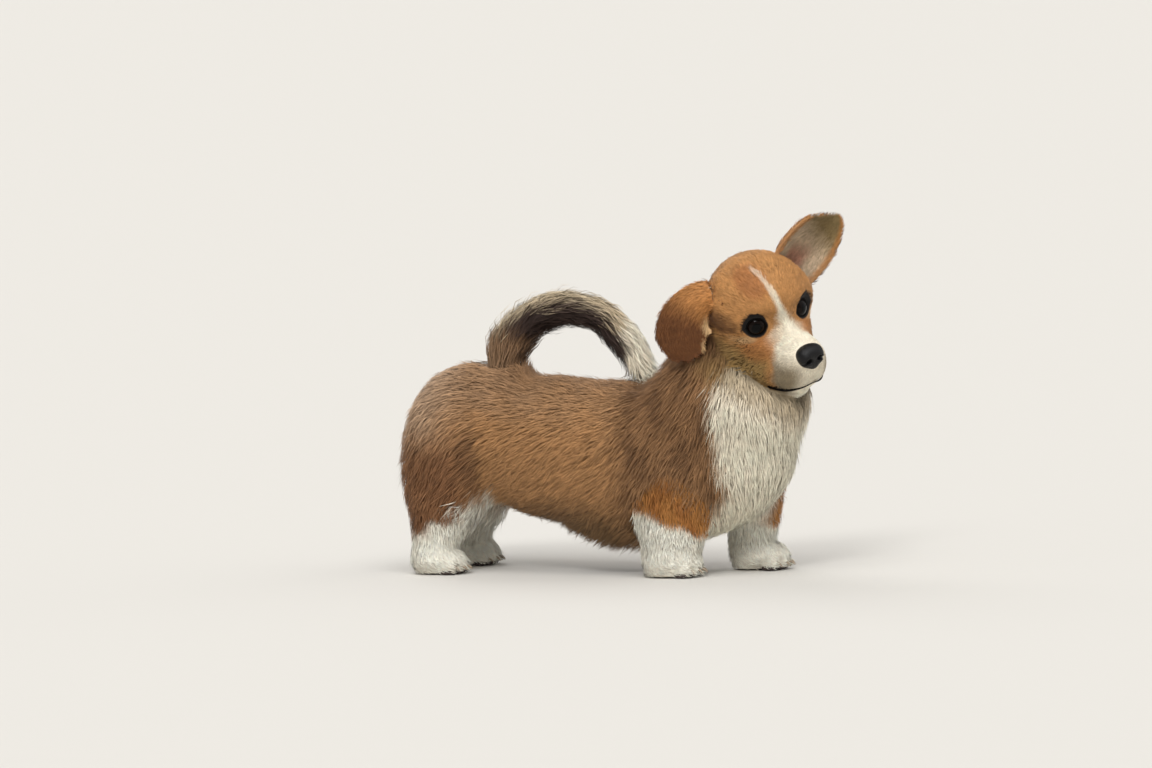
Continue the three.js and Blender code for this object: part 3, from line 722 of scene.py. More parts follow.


# The markings, which the skin and every tuft share.
# Some colours here carry painted shade: under the belly, in the crease before the thigh, in the erect
# ear's cup, on the folded ear's lower part, on the lower cheeks, the throat and the muzzle's lower
# sides, and by the ears.
coatColours = {
    "back": "#a37e5b", "flank": "#b38558", "thigh": "#7d5639", "ruff": "#97704c",
    "ruffDark": "#5f432c", "belly": "#5e4a31", "tan": "#b47a40", "tanDeep": "#985c2c",
    "white": "#f2e6cf", "leg": "#f6eedd",
    "crown": "#c18b54", "cheekDarkAndShade": "#6b492c", "shadedOlive": "#927748", "orange": "#b0703c",
    "browSpot": "#dcb888", "red": "#a45f34", "tailDark": "#392b26", "tailCream": "#e0cba8",
    "tailSable": "#7b5e43", "earTan": "#c4874d", "earDarkAndShade": "#633b21", "earRim": "#dcb684",
    "earInside": "#d0b99b", "earCupShade": "#8c7750", "rim": "#120d0c", "pink": "#c99880",
    "rump": "#bb9d80", "creaseHairAndShade": "#5d412d", "muzzleShade": "#93846b",
}
shade = {name: linear(value) for name, value in coatColours.items()}
draw = np.random.default_rng(5)
waveSets = [(draw.normal(size=(3, 7)), draw.uniform(0, 6.28, 7)) for _ in range(6)]


def ripple(points, wavelength, index):  # smooth noise around zero
    ways, phases = waveSets[index]
    return np.cos(points @ ways * (6.28 / wavelength / 1.7) + phases).sum(1) / 2.6


def spot(q, middle, half):  # 1 at a middle, fading to 0 at about the half sizes
    far = sizes((q - np.float32(middle)) / np.float32(half))
    return 1 - ease(far, 0.55, 1.15)


def bothSides(q, middle, half):
    return spot(folded(q), middle, half)


headMarks = {
    "waver": (14, 1.6),  # how the borders wander: wavelength and reach
    "crownEnd": (34, 56),  # behind the head's middle, where the crown turns to ruff
    "red": [(-8, -14, 35), (20, 13, 18), 0.5],  # middle, half sizes and strength
    # darker fur by the ears, with painted shade from the ears
    "darkBand": [(-20, 36, 4), (20, 16, 11), 0.85],
    # olive-cream fur of the lower cheeks, darkened by painted shade
    "shadedOlive": {"slope": 0.25, "below": (8, 24), "front": (8, 20), "back": (-58, -36), "strength": 0.9},
    "patches": [  # on both sides
        # darker fur by the ears, with painted shade from the ears
        ("cheekDarkAndShade", (-34, 34, -24), (22, 18, 20), 0.5),
        ("orange", (5, 24, -15), (17, 15, 14), 0.6),
        ("browSpot", (-4, 14, 16), (9, 8, 6), 0.8),
        ("browSpot", (-4, 27, -8), (9, 9, 5), 0.6),
    ],
    "blaze": {  # heights, then its middle and half width at them
        "heights": [0, 5, 22, 42], "middles": [0, -1.5, -4, -8],
        "widthHeights": [-8, 1, 12, 30, 44], "halfWidths": [13, 5.2, 3.2, 2.2, 1.2],
        "start": (-20, -10), "fade": (14, 40),
    },
    "muzzle": {"spread": 0.42, "ahead": (6, 16), "top": (-4, 8)},
    # painted shade on the lower sides of the muzzle
    "muzzleShade": {"beside": (6, 17), "below": (14, 31)},
    "chin": {"slope": 0.1, "below": (47, 53), "ahead": (-34, -22)},
    "eyeRim": {"near": 17, "edge": (0.2, 1.2), "peak": 1.7, "peakWidth": 4.0},
    "lips": {"places": [2, 14, 24, 36], "widths": [4.6, 3.2, 1.4, 0.9], "strength": 0.95},
}


def whiteOfHead(x, y, z, wobble):  # the blaze, the muzzle and the chin
    blaze, muzzle, chin = headMarks["blaze"], headMarks["muzzle"], headMarks["chin"]
    middle = np.interp(z, blaze["heights"], blaze["middles"])
    half = np.interp(z, blaze["widthHeights"], blaze["halfWidths"])
    band = 1 - ease(np.abs(y - middle) + wobble * 0.25, half * 0.3, half * 1.6)
    band = band * ease(x, *blaze["start"])
    band = band * (1 - 0.5 * ease(z, *blaze["fade"]))
    nose = ease(x - muzzle["spread"] * np.abs(y) + wobble, *muzzle["ahead"])
    nose = nose * (1 - ease(z, *muzzle["top"]))
    low = ease(-z - chin["slope"] * x, *chin["below"]) * ease(x, *chin["ahead"])
    return np.maximum(np.maximum(band, nose), low)


def headColour(q):
    x, y, z = q.T
    wave, waver = headMarks["waver"]
    wobble = ripple(q, wave, 0) * waver
    colour = np.tile(shade["crown"], (len(q), 1))
    colour = mixed(colour, shade["ruff"], ease(-x, *headMarks["crownEnd"]))
    middle, half, strength = headMarks["red"]
    colour = mixed(colour, shade["red"], spot(q, middle, half) * strength)
    # darker fur by the ears, with painted shade from the ears
    middle, half, strength = headMarks["darkBand"]
    band = np.clip(bothSides(q, middle, half) + wobble * 0.08, 0, 1)
    colour = mixed(colour, shade["cheekDarkAndShade"], band * strength)
    # olive-cream fur of the lower cheeks, darkened by painted shade
    shadedOlive = headMarks["shadedOlive"]
    low = ease(-z - shadedOlive["slope"] * x, *shadedOlive["below"])
    low = low * (1 - ease(x, *shadedOlive["front"])) * ease(x, *shadedOlive["back"])
    colour = mixed(colour, shade["shadedOlive"], low * shadedOlive["strength"])
    for name, middle, half, strength in headMarks["patches"]:
        colour = mixed(colour, shade[name], bothSides(q, middle, half) * strength)
    # painted shade on the lower sides of the muzzle
    under = headMarks["muzzleShade"]
    under = ease(np.abs(y), *under["beside"]) * ease(-z, *under["below"])
    pale = mixed(shade["white"], shade["muzzleShade"], under)
    colour = mixed(colour, pale, whiteOfHead(x, y, z, wobble))
    rim = headMarks["eyeRim"]
    for side in (1, -1):
        offset = q - np.float32(eyeMiddle(side))
        aside = offset @ np.float32(eyeAxes(side)[1])
        peak = rim["peak"] * np.exp(-(aside / rim["peakWidth"]) ** 2) * (offset[:, 2] > 0)
        dark = 1 - ease(eyeOpening(q, side), rim["edge"][0] + peak, rim["edge"][1] + peak)
        colour = mixed(colour, shade["rim"], dark * (sizes(offset) < rim["near"]))
    lips = headMarks["lips"]
    wide = np.interp(x, lips["places"], lips["widths"])
    dark = 1 - ease(sizes(nearLine(q, lipLine)[1]), wide * 0.6, wide * 1.2)
    return mixed(colour, shade["rim"], dark * lips["strength"])


trunkMarks = {  # places on the puppy's own axes, in mm
    "back": (118, 150),
    "rump": {"behind": (96, 150), "above": (92, 128), "strength": 0.8},
    "thigh": {"behind": (88, 120), "below": (98, 132), "strength": 0.9},
    # darker hair in the crease before the thigh, with painted shade in it
    "creaseHairAndShade": [(-100, -46, 94), (11, 30, 30), 0.55],
    "ruff": (20, 52),
    "streaks": {"stretch": (1, 1, 0.45), "wave": 17, "ahead": (8, 50), "strength": 0.55},
    # painted shade under the belly
    "belly": {"below": (-84, -50), "behind": (60, 100), "ahead": (20, 60), "strength": 0.85},
    "bib": {
        "around": (80, -5), "angles": (46, 54), "ahead": (70, 84),
        "neck": (104, 166), "forward": (0.83, -0.55), "throat": (-6, 8), "napeAbove": (-150, -135),
    },
    "brisket": {"below": (62, 76), "ahead": (38, 60), "beside": (24, 34)},
    "innerThigh": {"below": (60, 78), "beside": (14, 24), "behind": (80, 100)},
    # painted shade of the head on the white fur of the throat
    "throat": {"away": (3, 20), "below": (176, 200), "ahead": (90, 110), "strength": 0.6},
    "stocking": {"level": 37, "start": -159, "slope": 0.53, "limits": (35, 78), "behind": (84, 92)},
}


def bibOf(p, wobble):  # the white bib, round the front of the chest but not over the nape
    x, y, z = p.T
    bib = trunkMarks["bib"]
    angle = np.degrees(np.abs(np.arctan2(y - bib["around"][1], x - bib["around"][0])))
    angle = angle + 4 * wobble + 0.5 * np.maximum(z - 150, 0) + 0.15 * np.maximum(100 - z, 0)
    ahead = (x - bib["neck"][0]) * bib["forward"][0] + (z - bib["neck"][1]) * bib["forward"][1]
    throat = np.maximum(ease(ahead, *bib["throat"]), ease(-z, *bib["napeAbove"]))
    return (1 - ease(angle, *bib["angles"])) * throat * ease(x, *bib["ahead"])


def stockingEdge(x, level, limits):  # the white of a hind leg rises toward the knee
    mark = trunkMarks["stocking"]
    return np.clip(level + (x - mark["start"]) * mark["slope"], *limits)


def trunkColour(p):
    x, y, z = p.T
    wobble = ripple(p, 26, 1)
    colour = mixed(shade["flank"], shade["back"], ease(z + 5 * wobble, *trunkMarks["back"]))
    rump = trunkMarks["rump"]
    pale = ease(-x, *rump["behind"]) * ease(z, *rump["above"])
    colour = mixed(colour, shade["rump"], pale * rump["strength"])
    thigh = trunkMarks["thigh"]
    low = ease(-x, *thigh["behind"]) * (1 - ease(z, *thigh["below"]))
    colour = mixed(colour, shade["thigh"], low * thigh["strength"])
    # darker hair in the crease before the thigh, with painted shade in it
    middle, half, strength = trunkMarks["creaseHairAndShade"]
    colour = mixed(colour, shade["creaseHairAndShade"], spot(p, middle, half) * strength)
    colour = mixed(colour, shade["ruff"], ease(x, *trunkMarks["ruff"]))
    streaks = trunkMarks["streaks"]
    streak = np.clip(ripple(p * streaks["stretch"], streaks["wave"], 2), 0, 1)
    streak = streak * streaks["strength"] * ease(x, *streaks["ahead"])
    colour = mixed(colour, shade["ruffDark"], streak)
    # painted shade: the coat turns a shadowed dark brown low under the belly
    belly = trunkMarks["belly"]
    under = ease(-z - 0.2 * np.abs(y), *belly["below"])
    under = under * (1 - ease(-x, *belly["behind"])) * (1 - ease(x, *belly["ahead"]))
    colour = mixed(colour, shade["belly"], under * belly["strength"])
    brisket = trunkMarks["brisket"]
    middle = (1 - ease(z, *brisket["below"])) * ease(x, *brisket["ahead"])
    middle = middle * (1 - ease(np.abs(y + 6), *brisket["beside"]))
    colour = mixed(colour, shade["white"], np.maximum(bibOf(p, wobble), middle))
    thigh = trunkMarks["innerThigh"]
    inner = (1 - ease(z, *thigh["below"])) * (1 - ease(np.abs(y), *thigh["beside"]))
    inner = inner * ease(-x, *thigh["behind"])
    # painted shade of the head on the white fur of the throat
    throat = trunkMarks["throat"]
    near = (1 - ease(headField(toHead(p), False), *throat["away"])) * (1 - ease(z, *throat["below"]))
    colour = mixed(colour, shade["shadedOlive"], near * ease(x, *throat["ahead"]) * throat["strength"])
    mark = trunkMarks["stocking"]
    edge = stockingEdge(x, mark["level"], mark["limits"]) + 3 * ripple(p, 18, 3)
    stocking = (1 - ease(z, edge - 3, edge + 4)) * ease(-x, *mark["behind"])
    return mixed(colour, shade["leg"], np.maximum(inner, stocking))


foreLegMarks = {  # the tan patch, whose lower edge falls toward the front
    "level": 64, "slope": 0.42, "from": (20, 62), "border": 6, "inward": (6, 16), "ruff": (78, 92),
}


def foreLegColour(p, middleY):
    x, y, z = p.T
    mark = foreLegMarks
    inward = ease((y - middleY) * -np.sign(middleY), *mark["inward"])
    start = mark["level"] - mark["slope"] * (x - mark["from"][0 if middleY < 0 else 1])
    tan = ease(z + ripple(p, 16, 3) * 2.5, start, start + mark["border"]) * (1 - inward)
    patch = mixed(shade["tan"], shade["tanDeep"], ease(ripple(p, 12, 4), -0.6, 1) * 0.5)
    colour = mixed(shade["leg"], patch, tan)
    return mixed(colour, shade["ruff"], ease(z, *mark["ruff"]) * tan)


hindLegMarks = {"level": 36, "limits": (34, 80), "inward": (4, 16), "inside": 26, "flank": (40, 90)}


def hindLegColour(p, middleY):
    x, y, z = p.T
    mark = hindLegMarks
    inward = ease((y - middleY) * -np.sign(middleY), *mark["inward"])
    edge = stockingEdge(x, mark["level"], mark["limits"]) + mark["inside"] * inward
    brown = ease(z + ripple(p, 18, 3) * 3, edge - 3, edge + 4)
    patch = mixed(shade["thigh"], shade["flank"], ease(z, *mark["flank"]) * 0.4)
    return mixed(shade["leg"], patch, brown)


tailMarks = {  # shares of the tail's length, and how far up the outer side
    "dark": (0.06, 0.22), "cream": (0.05, 0.2), "creamSide": (0.05, 0.7), "white": (0.72, 0.82),
}


def tailColours(p):
    share, offset = nearLine(p.astype(np.float32), tailCurve)
    tangent = unit(between(unit(np.gradient(tailCurve, axis=0)), share))
    upward = unit(np.cross(tangent, (0.0, 1.0, 0.0)))
    outer = dots(unit(offset), upward)
    root = mixed(shade["tailSable"], shade["tailDark"], ease(share, *tailMarks["dark"]))
    cream = ease(outer, *tailMarks["creamSide"]) * ease(share, *tailMarks["cream"])
    tip = mixed(root, shade["tailCream"], cream * 0.95)
    white = ease(share + ripple(p, 20, 5) * 0.02 + 0.08 * outer, *tailMarks["white"])
    return mixed(root, shade["white"], white * 0.8), mixed(tip, shade["white"], white)


earMarks = {  # shares of the ear's length, and of its half width from the middle
    "turn": (-0.4, 0.4),
    "left": {
        # toward the tip, painted shade darkens the erect ear's cup
        "cupShade": (0.3, 0.7), "pink": [(0.1, 0.35), (0.3, 0.6)], "rim": (0.86, 0.99), "tip": (0.7, 1.0),
    },
    # the folded ear darkens toward its hanging part: painted shade
    "right": {"tan": (0.6, 0.9), "dark": (0.25, 0.6), "rim": [(-0.96, -0.74), (0.2, 0.5)]},
}


def earColour(p, name):
    share, s, _, out, _ = earPlace(toHead(p), earForms[name])
    mark = earMarks[name]
    if name == "left":
        # painted shade deep in the erect ear's cup, toward its tip
        inside = mixed(shade["earInside"], shade["earCupShade"], ease(share + 0.15 * s, *mark["cupShade"]))
        bare = (1 - ease(share, *mark["pink"][0])) * (1 - ease(np.abs(s), *mark["pink"][1]))
        inside = mixed(inside, shade["pink"], bare)
        inside = mixed(inside, shade["earTan"], ease(np.abs(s), *mark["rim"]) * 0.8)
        outside = mixed(shade["earTan"], shade["crown"], 0.4 * (1 - share))
        outside = mixed(outside, shade["earDarkAndShade"], ease(share, *mark["tip"]) * 0.35)
    else:
        inside = mixed(shade["earInside"], shade["earTan"], ease(np.abs(s), *mark["tan"]))
        # painted shade on the hanging lower part of the folded ear
        outside = mixed(shade["earTan"], shade["earDarkAndShade"], ease(share, *mark["dark"]) * 0.9)
        edge = (1 - ease(s, *mark["rim"][0])) * ease(share, *mark["rim"][1])
        outside = mixed(outside, shade["earRim"], edge * 0.9)
    return mixed(outside, inside, ease(out, *earMarks["turn"]))


def coatTone(points, parts):  # colour at the root and at the tip of the hair
    root = np.zeros((len(points), 3))
    tip = np.zeros((len(points), 3))
    for index, name in enumerate(partNames):
        chosen = parts == index
        if not chosen.any():
            continue
        p = points[chosen].astype(np.float32)
        if name in ("trunk", "neck"):
            base = trunkColour(p)
        elif name == "head":
            base = headColour(toHead(p))
        elif name.startswith("fore"):
            base = foreLegColour(p, legForms[name]["paw"][0][1])
        elif name.startswith("hind"):
            base = hindLegColour(p, legForms[name]["paw"][0][1])
        elif name.startswith("ear"):
            base = earColour(p, name[3:].lower())
        if name == "tail":
            root[chosen], tip[chosen] = tailColours(p)
        else:
            root[chosen], tip[chosen] = base, base
    return root, tip


def paint(mesh, colours):
    layer = mesh.color_attributes.new(name="coatColour", type="FLOAT_COLOR", domain="POINT")
    rgba = np.ones((len(colours), 4), np.float32)
    rgba[:, :3] = colours
    layer.data.foreach_set("color", rgba.ravel())


def addNode(tree, kind, settings=None, links=None):
    node = tree.nodes.new(kind)
    for name, value in (settings or {}).items():
        if name in node.inputs:
            node.inputs[name].default_value = value
        else:
            setattr(node, name, value)
    for name, source in (links or {}).items():
        tree.links.new(source, node.inputs[name])
    return node


def newMaterial(name, settings):
    material = bpy.data.materials.new(name)
    material.use_nodes = True
    tree = material.node_tree
    tree.nodes.clear()
    shader = addNode(tree, "ShaderNodeBsdfPrincipled", settings)
    addNode(tree, "ShaderNodeOutputMaterial", links={"Surface": shader.outputs[0]})
    return material, tree, shader


def furMaterial(name, grain, bump):
    # hair: a soft sheen along each tuft, no hard gloss
    material, tree, shader = newMaterial(name, {
        "Roughness": 0.62, "Specular IOR Level": 0.22, "Sheen Weight": 0.06, "Sheen Roughness": 0.5})
    colour = addNode(tree, "ShaderNodeAttribute", {"attribute_name": "coatColour"})
    place = addNode(tree, "ShaderNodeTexCoord")
    noise = addNode(tree, "ShaderNodeTexNoise", {"Scale": 1000 / grain, "Detail": 3.0},
                    {"Vector": place.outputs["Object"]})
    limits = {"From Min": 0.3, "From Max": 0.7, "To Min": 0.84, "To Max": 1.14}
    ramp = addNode(tree, "ShaderNodeMapRange", limits, {"Value": noise.outputs["Fac"]})
    tone = addNode(tree, "ShaderNodeVectorMath", {"operation": "SCALE"},
                   {"Vector": colour.outputs["Color"], "Scale": ramp.outputs[0]})
    tree.links.new(tone.outputs[0], shader.inputs["Base Color"])
    if bump:
        rough = addNode(tree, "ShaderNodeBump", {"Strength": 0.5, "Distance": bump / 1000},
                        {"Height": noise.outputs["Fac"]})
        tree.links.new(rough.outputs[0], shader.inputs["Normal"])
    return material


coatMaterial = furMaterial("puppyHair", 5.0, 0)
skinMaterial = furMaterial("shortUndercoat", 1.2, 0.5)

skinRoot, _ = coatTone(points, skinParts)
paint(skinMesh, skinRoot * skinSettings["shade"])
skin = addPiece("skin", skinMesh, skinMaterial)
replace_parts(skin, "torso", "neck", "head", "ear_left", "ear_right", "foreleg_right", "foreleg_left",
            "hindleg_right", "hindleg_left", "tail_base", "tail_middle", "tail_tip")
report("skin painted")


def ringsMesh(rings, endless=False):
    # joins rings of points, each the same number, into a closed skin that faces outward
    rings = np.asarray(rings, float)
    rows, count = rings.shape[:2]
    faces = []
    for i in range(rows if endless else rows - 1):
        a, b = i * count, (i + 1) % rows * count
        for k in range(count):
            n = (k + 1) % count
            faces.append((a + k, a + n, b + n, b + k))
    if not endless:
        faces += [tuple(range(count))[::-1], tuple((rows - 1) * count + k for k in range(count))]
    points = rings.reshape(-1, 3)
    middle = points.mean(0)
    about = points - middle
    volume = sum(np.dot(about[f[0]], np.cross(about[f[i]], about[f[i + 1]]))
                 for f in faces for i in range(1, len(f) - 1))
    if volume < 0:
        faces = [face[::-1] for face in faces]
    corners = np.array([corner for face in faces for corner in face])
    return points, corners, np.array([len(face) for face in faces])


def joinedParts(parts):
    points, corners, counts, start = [], [], [], 0
    for p, c, n in parts:
        points.append(p)
        corners.append(c + start)
        counts.append(n)
        start += len(p)
    return np.vstack(points), np.concatenate(corners), np.concatenate(counts)


eyeColours = {
    "pupil": "#030202", "iris": "#0d0705", "irisLight": "#180d08", "white": "#0d0806",
    "pupilShare": 0.4, "irisShare": 0.8, "bulge": 0.4, "rows": 40, "around": 48, "rim": "#080605",
}


def colourMix(tree, share, first, second):  # each side a colour or another node's output
    mix = addNode(tree, "ShaderNodeMix", {"data_type": "RGBA"}, {"Factor": share})
    for index, source in ((6, first), (7, second)):
        if isinstance(source, str):
            mix.inputs[index].default_value = (*linear(source), 1)
        else:
            tree.links.new(source, mix.inputs[index])
    return mix.outputs[2]


def eyeMaterial():
    # wet cornea over a dark brown iris: one sharp highlight over depth
    material, tree, shader = newMaterial("wetEye", {
        "Roughness": 0.07, "IOR": 1.34, "Specular IOR Level": 0.2})
    share = addNode(tree, "ShaderNodeAttribute", {"attribute_name": "fromPupil"}).outputs["Fac"]
    place = addNode(tree, "ShaderNodeTexCoord")
    noise = addNode(tree, "ShaderNodeTexNoise", {"Scale": 900.0, "Detail": 2.0},
                    {"Vector": place.outputs["Object"]})

    def border(low, high):
        limits = {"From Min": low, "From Max": high}
        return addNode(tree, "ShaderNodeMapRange", limits, {"Value": share}).outputs[0]

    pupil, iris = eyeColours["pupilShare"], eyeColours["irisShare"]
    seen = colourMix(tree, noise.outputs["Fac"], eyeColours["iris"], eyeColours["irisLight"])
    seen = colourMix(tree, border(pupil - 0.03, pupil + 0.03), eyeColours["pupil"], seen)
    seen = colourMix(tree, border(iris - 0.06, iris + 0.04), seen, eyeColours["white"])
    tree.links.new(seen, shader.inputs["Base Color"])
    return material


wetEye = eyeMaterial()
for side, node, name in ((1, "eye_left", "eyeBallLeft"), (-1, "eye_right", "eyeBallRight")):
    look, across, up = eyeAxes(side)
    middle = eyeMiddle(side)
    rows, around = eyeColours["rows"], eyeColours["around"]
    rings, away = [], []
    for i in range(rows):
        polar = math.pi * (i + 0.5) / rows
        bulge = eyeColours["bulge"] * math.exp(-(polar / 0.8) ** 2)
        radius = eyeForm["radius"] + bulge
        turn = np.linspace(0, 2 * math.pi, around, endpoint=False)[:, None]
        rings.append(middle + radius * (math.cos(polar) * look
                     + math.sin(polar) * (np.cos(turn) * across + np.sin(turn) * up)))
        away += [min(polar / 1.05, 1.0)] * around
    ball, corners, counts = ringsMesh(rings)
    mesh = buildMesh(name, fromHead(ball), corners, counts)
    layer = mesh.attributes.new("fromPupil", "FLOAT", "POINT")
    layer.data.foreach_set("value", np.array(away, np.float32))
    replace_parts(addPiece(name, mesh, wetEye), node)

# black lid leather, damp at the edge
lidLeather = newMaterial("lidLeather", {
    "Base Color": (*linear(eyeColours["rim"]), 1), "Roughness": 0.6, "Specular IOR Level": 0.08})[0]


def tubeRings(line, radii, around, close=False):
    line = np.asarray(line, float)
    tangent = unit(np.roll(line, -1, 0) - np.roll(line, 1, 0) if close else np.gradient(line, axis=0))
    side = unit(np.cross(tangent, line.mean(0) - line + (0.01, 0.02, 0.03)))
    up = np.cross(side, tangent)
    turn = np.linspace(0, 2 * math.pi, around, endpoint=False)
    radii = np.broadcast_to(radii, len(line))
    ways = [math.cos(t) * side + math.sin(t) * up for t in turn]
    return np.stack([line + radii[:, None] * way for way in ways], 1)


rims = []
for side in (1, -1):
    look, across, up = eyeAxes(side)
    middle = eyeMiddle(side)
    turn = np.linspace(0, 2 * math.pi, 56, endpoint=False)
    a = np.sign(np.cos(turn)) * np.abs(np.cos(turn)) ** 0.8 * eyeForm["halfWidth"]
    arch = 1 - np.abs(a / eyeForm["halfWidth"]) ** eyeForm["roundness"]
    b = np.where(np.sin(turn) > 0, eyeForm["upper"], -eyeForm["lower"]) * arch
    ways = unit(look * eyeForm["radius"] + a[:, None] * across + b[:, None] * up)
    line = middle + ways * (eyeForm["radius"] + 0.55)
    rims.append(ringsMesh(tubeRings(line, eyeForm["rimRadius"], 10, close=True), endless=True))
rim, corners, counts = joinedParts(rims)
rimMesh = buildMesh("eyelidRims", fromHead(rim), corners, counts)
addPiece("eyelidRims", rimMesh, lidLeather)

lipEdge = {"radii": [1.5, 2.1, 2.0, 1.2, 0.6, 0.4], "out": 1.3}
mouthAhead = np.clip(lipLine[:, 0] - 6, -6, 26)
middleOfMouth = np.stack([mouthAhead, lipLine[:, 1] * 0, lipLine[:, 2] + 5], -1)
lipOut = unit(lipLine - middleOfMouth)
share = np.abs(np.linspace(-1, 1, len(lipLine)))
lipRings = tubeRings(lipLine + lipOut * lipEdge["out"], between(lipEdge["radii"], 1 - share), 8)
lips, corners, counts = ringsMesh(lipRings)
lipMesh = buildMesh("lipEdges", fromHead(lips), corners, counts)
addPiece("lipEdges", lipMesh, lidLeather)

noseForm = {
    "low": (28, -16, -36), "high": (54, 16, -2), "voxel": 0.45,
    "top": [(41, 0, -14.8), (8, 10.6, 6.4)],
    "wing": [(42, 5.4, -18.6), (8, 5.6, 6.8)],
    "foot": [(42, 0, -24), (6.5, 5.4, 5)],
    "hole": [(49.5, 5.0, -18.6), (4.5, 2.6, 2.3)],
    "slit": [(48.5, 6.6, -19.2), 1.1, (44.5, 12, -22.5), 0.7],
    "groove": [(51.5, 0, -17), 0.9, (47.5, 0, -33), 0.8],
    "colour": "#0b0a0b", "pebble": 0.9, "depth": 0.4,
}


def noseField(q):
    field = massDistance(q, noseForm["top"])
    for mass in (noseForm["wing"], mirrored(noseForm["wing"]), noseForm["foot"]):
        field = softJoin(field, massDistance(q, mass), 4)
    for sign in (1, -1):
        flip = np.float32((1, sign, 1))
        field = softCut(field, massDistance(q * flip, noseForm["hole"]), 1.6)
        field = softCut(field, boneDistance(q * flip, noseForm["slit"]), 1.2)
    return softCut(field, boneDistance(q, noseForm["groove"]), 1.2)


noseGrid = fieldGrid(noseForm["low"], noseForm["high"], noseForm["voxel"], noseField)
nosePoints, noseQuads = surfacePoints(noseGrid.astype(np.float32), noseForm["low"], noseForm["voxel"])
# nose leather: damp, pebbled, with small soft highlights
noseLeather, noseTree, noseShader = newMaterial("noseLeather", {
    "Base Color": (*linear(noseForm["colour"]), 1), "Roughness": 0.42, "Specular IOR Level": 0.26})
nosePlace = addNode(noseTree, "ShaderNodeTexCoord")
pebbles = addNode(noseTree, "ShaderNodeTexVoronoi", {"Scale": 1000 / noseForm["pebble"]},
                  {"Vector": nosePlace.outputs["Object"]})
bumps = {"Strength": 0.55, "Distance": noseForm["depth"] / 1000, "invert": True}
noseBump = addNode(noseTree, "ShaderNodeBump", bumps, {"Height": pebbles.outputs["Distance"]})
noseTree.links.new(noseBump.outputs[0], noseShader.inputs["Normal"])
noseCounts = np.full(len(noseQuads), 4)
noseMesh = buildMesh("noseLeatherPad", fromHead(nosePoints), noseQuads.ravel(), noseCounts)
nose = addPiece("noseLeatherPad", noseMesh, noseLeather)
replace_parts(nose, "nose")

clawForm = {"length": 5.6, "radius": 1.15, "start": 2.5, "drop": 3.4, "colour": "#9a8873"}
padForm = {  # a small pad under each toe and a large one behind them
    "toe": [(-0.5, 0, 2.6), (5.6, 3.5, 2.6)], "heel": [(-3.5, 0, 2.7), (7.5, 8.0, 2.7)],
    "open": 0.12, "rings": 9, "flat": 0.98, "colour": "#3a2c29",
}
claws, pads = [], []
for leg in legForms.values():
    for middle, half in toes(leg["paw"]):
        share = np.linspace(0, 1, 7)[:, None]
        base = np.array([middle[0] + half[0] - clawForm["start"], middle[1], middle[2] + 0.4])
        line = base + share * (clawForm["length"], 0, 0) - share ** 2 * (0, 0, clawForm["drop"])
        claws.append(ringsMesh(tubeRings(line, clawForm["radius"] * (1.02 - share[:, 0] ** 1.6), 8)))
        pads.append((middle, "toe"))
    pads.append((leg["paw"][0], "heel"))
# claws of horn: smooth, a little shiny
clawHorn = newMaterial("clawHorn", {
    "Base Color": (*linear(clawForm["colour"]), 1), "Roughness": 0.35})[0]
claw, corners, counts = joinedParts(claws)
addPiece("claws", buildMesh("claws", claw, corners, counts), clawHorn)
padParts = []
for place, kind in pads:
    middle, half = padForm[kind]
    middle = (place[0] + middle[0], place[1], middle[2])
    turn = np.linspace(0, 2 * math.pi, 20, endpoint=False)
    bean = 1 + 0.12 * np.cos(2 * turn)
    rings = []
    for polar in np.linspace(padForm["open"], math.pi - padForm["open"], padForm["rings"]):
        ring = np.stack([np.cos(turn) * bean, np.sin(turn) * bean, np.zeros_like(turn)], -1)
        ring = ring * math.sin(polar)
        ring[:, 2] = np.clip(-math.cos(polar), -padForm["flat"], 1)
        rings.append(ring * half + middle)
    padParts.append(ringsMesh(rings))
# paw pads: dry dark leather
padLeather = newMaterial("padLeather", {
    "Base Color": (*linear(padForm["colour"]), 1), "Roughness": 0.6})[0]
pad, corners, counts = joinedParts(padParts)
addPiece("pawPads", buildMesh("pawPads", pad, corners, counts), padLeather)
report("eyes, nose, claws and pads done")


# The coat: first how far out it reaches, then which way it lies, then the tufts.
outer = {"spacing": 3.0, "low": (-204, -90, -9), "high": (232, 94, 306)}
outerGrid = fieldGrid(outer["low"], outer["high"], outer["spacing"], coatField)
outerSlopes = np.stack(np.gradient(outerGrid, outer["spacing"]), -1)
outerAll = np.concatenate([outerSlopes, outerGrid[..., None]], -1).astype(np.float32)
report("coat level done", outerGrid.shape)


def coatLevel(points):  # way out of the coat and distance from its outer level
    place = (points - np.float32(outer["low"])) / outer["spacing"]
    place = np.clip(place, 0, np.array(outerGrid.shape) - 1.001)
    start = place.astype(int)
    part = (place - start).astype(np.float32)
    total = np.zeros((len(points), 4), np.float32)
    for corner in np.ndindex(2, 2, 2):
        weight = np.prod(np.where(corner, part, 1 - part), axis=1)
        i, j, k = (start + corner).T
        total += weight[:, None] * outerAll[i, j, k]
    return unit(total[:, :3]), total[:, 3]


trunkLies = {  # which way the hair lies: ahead, outward and up
    "back": (-1.0, 0.12, -0.08), "flanks": (-0.85, 0.1, -0.62), "ruff": (-0.5, 0.22, -0.85),
    "bib": (0.05, -0.08, -1.0), "rear": (-0.45, 0.1, -0.92), "under": (-0.8, 0, -0.6),
}


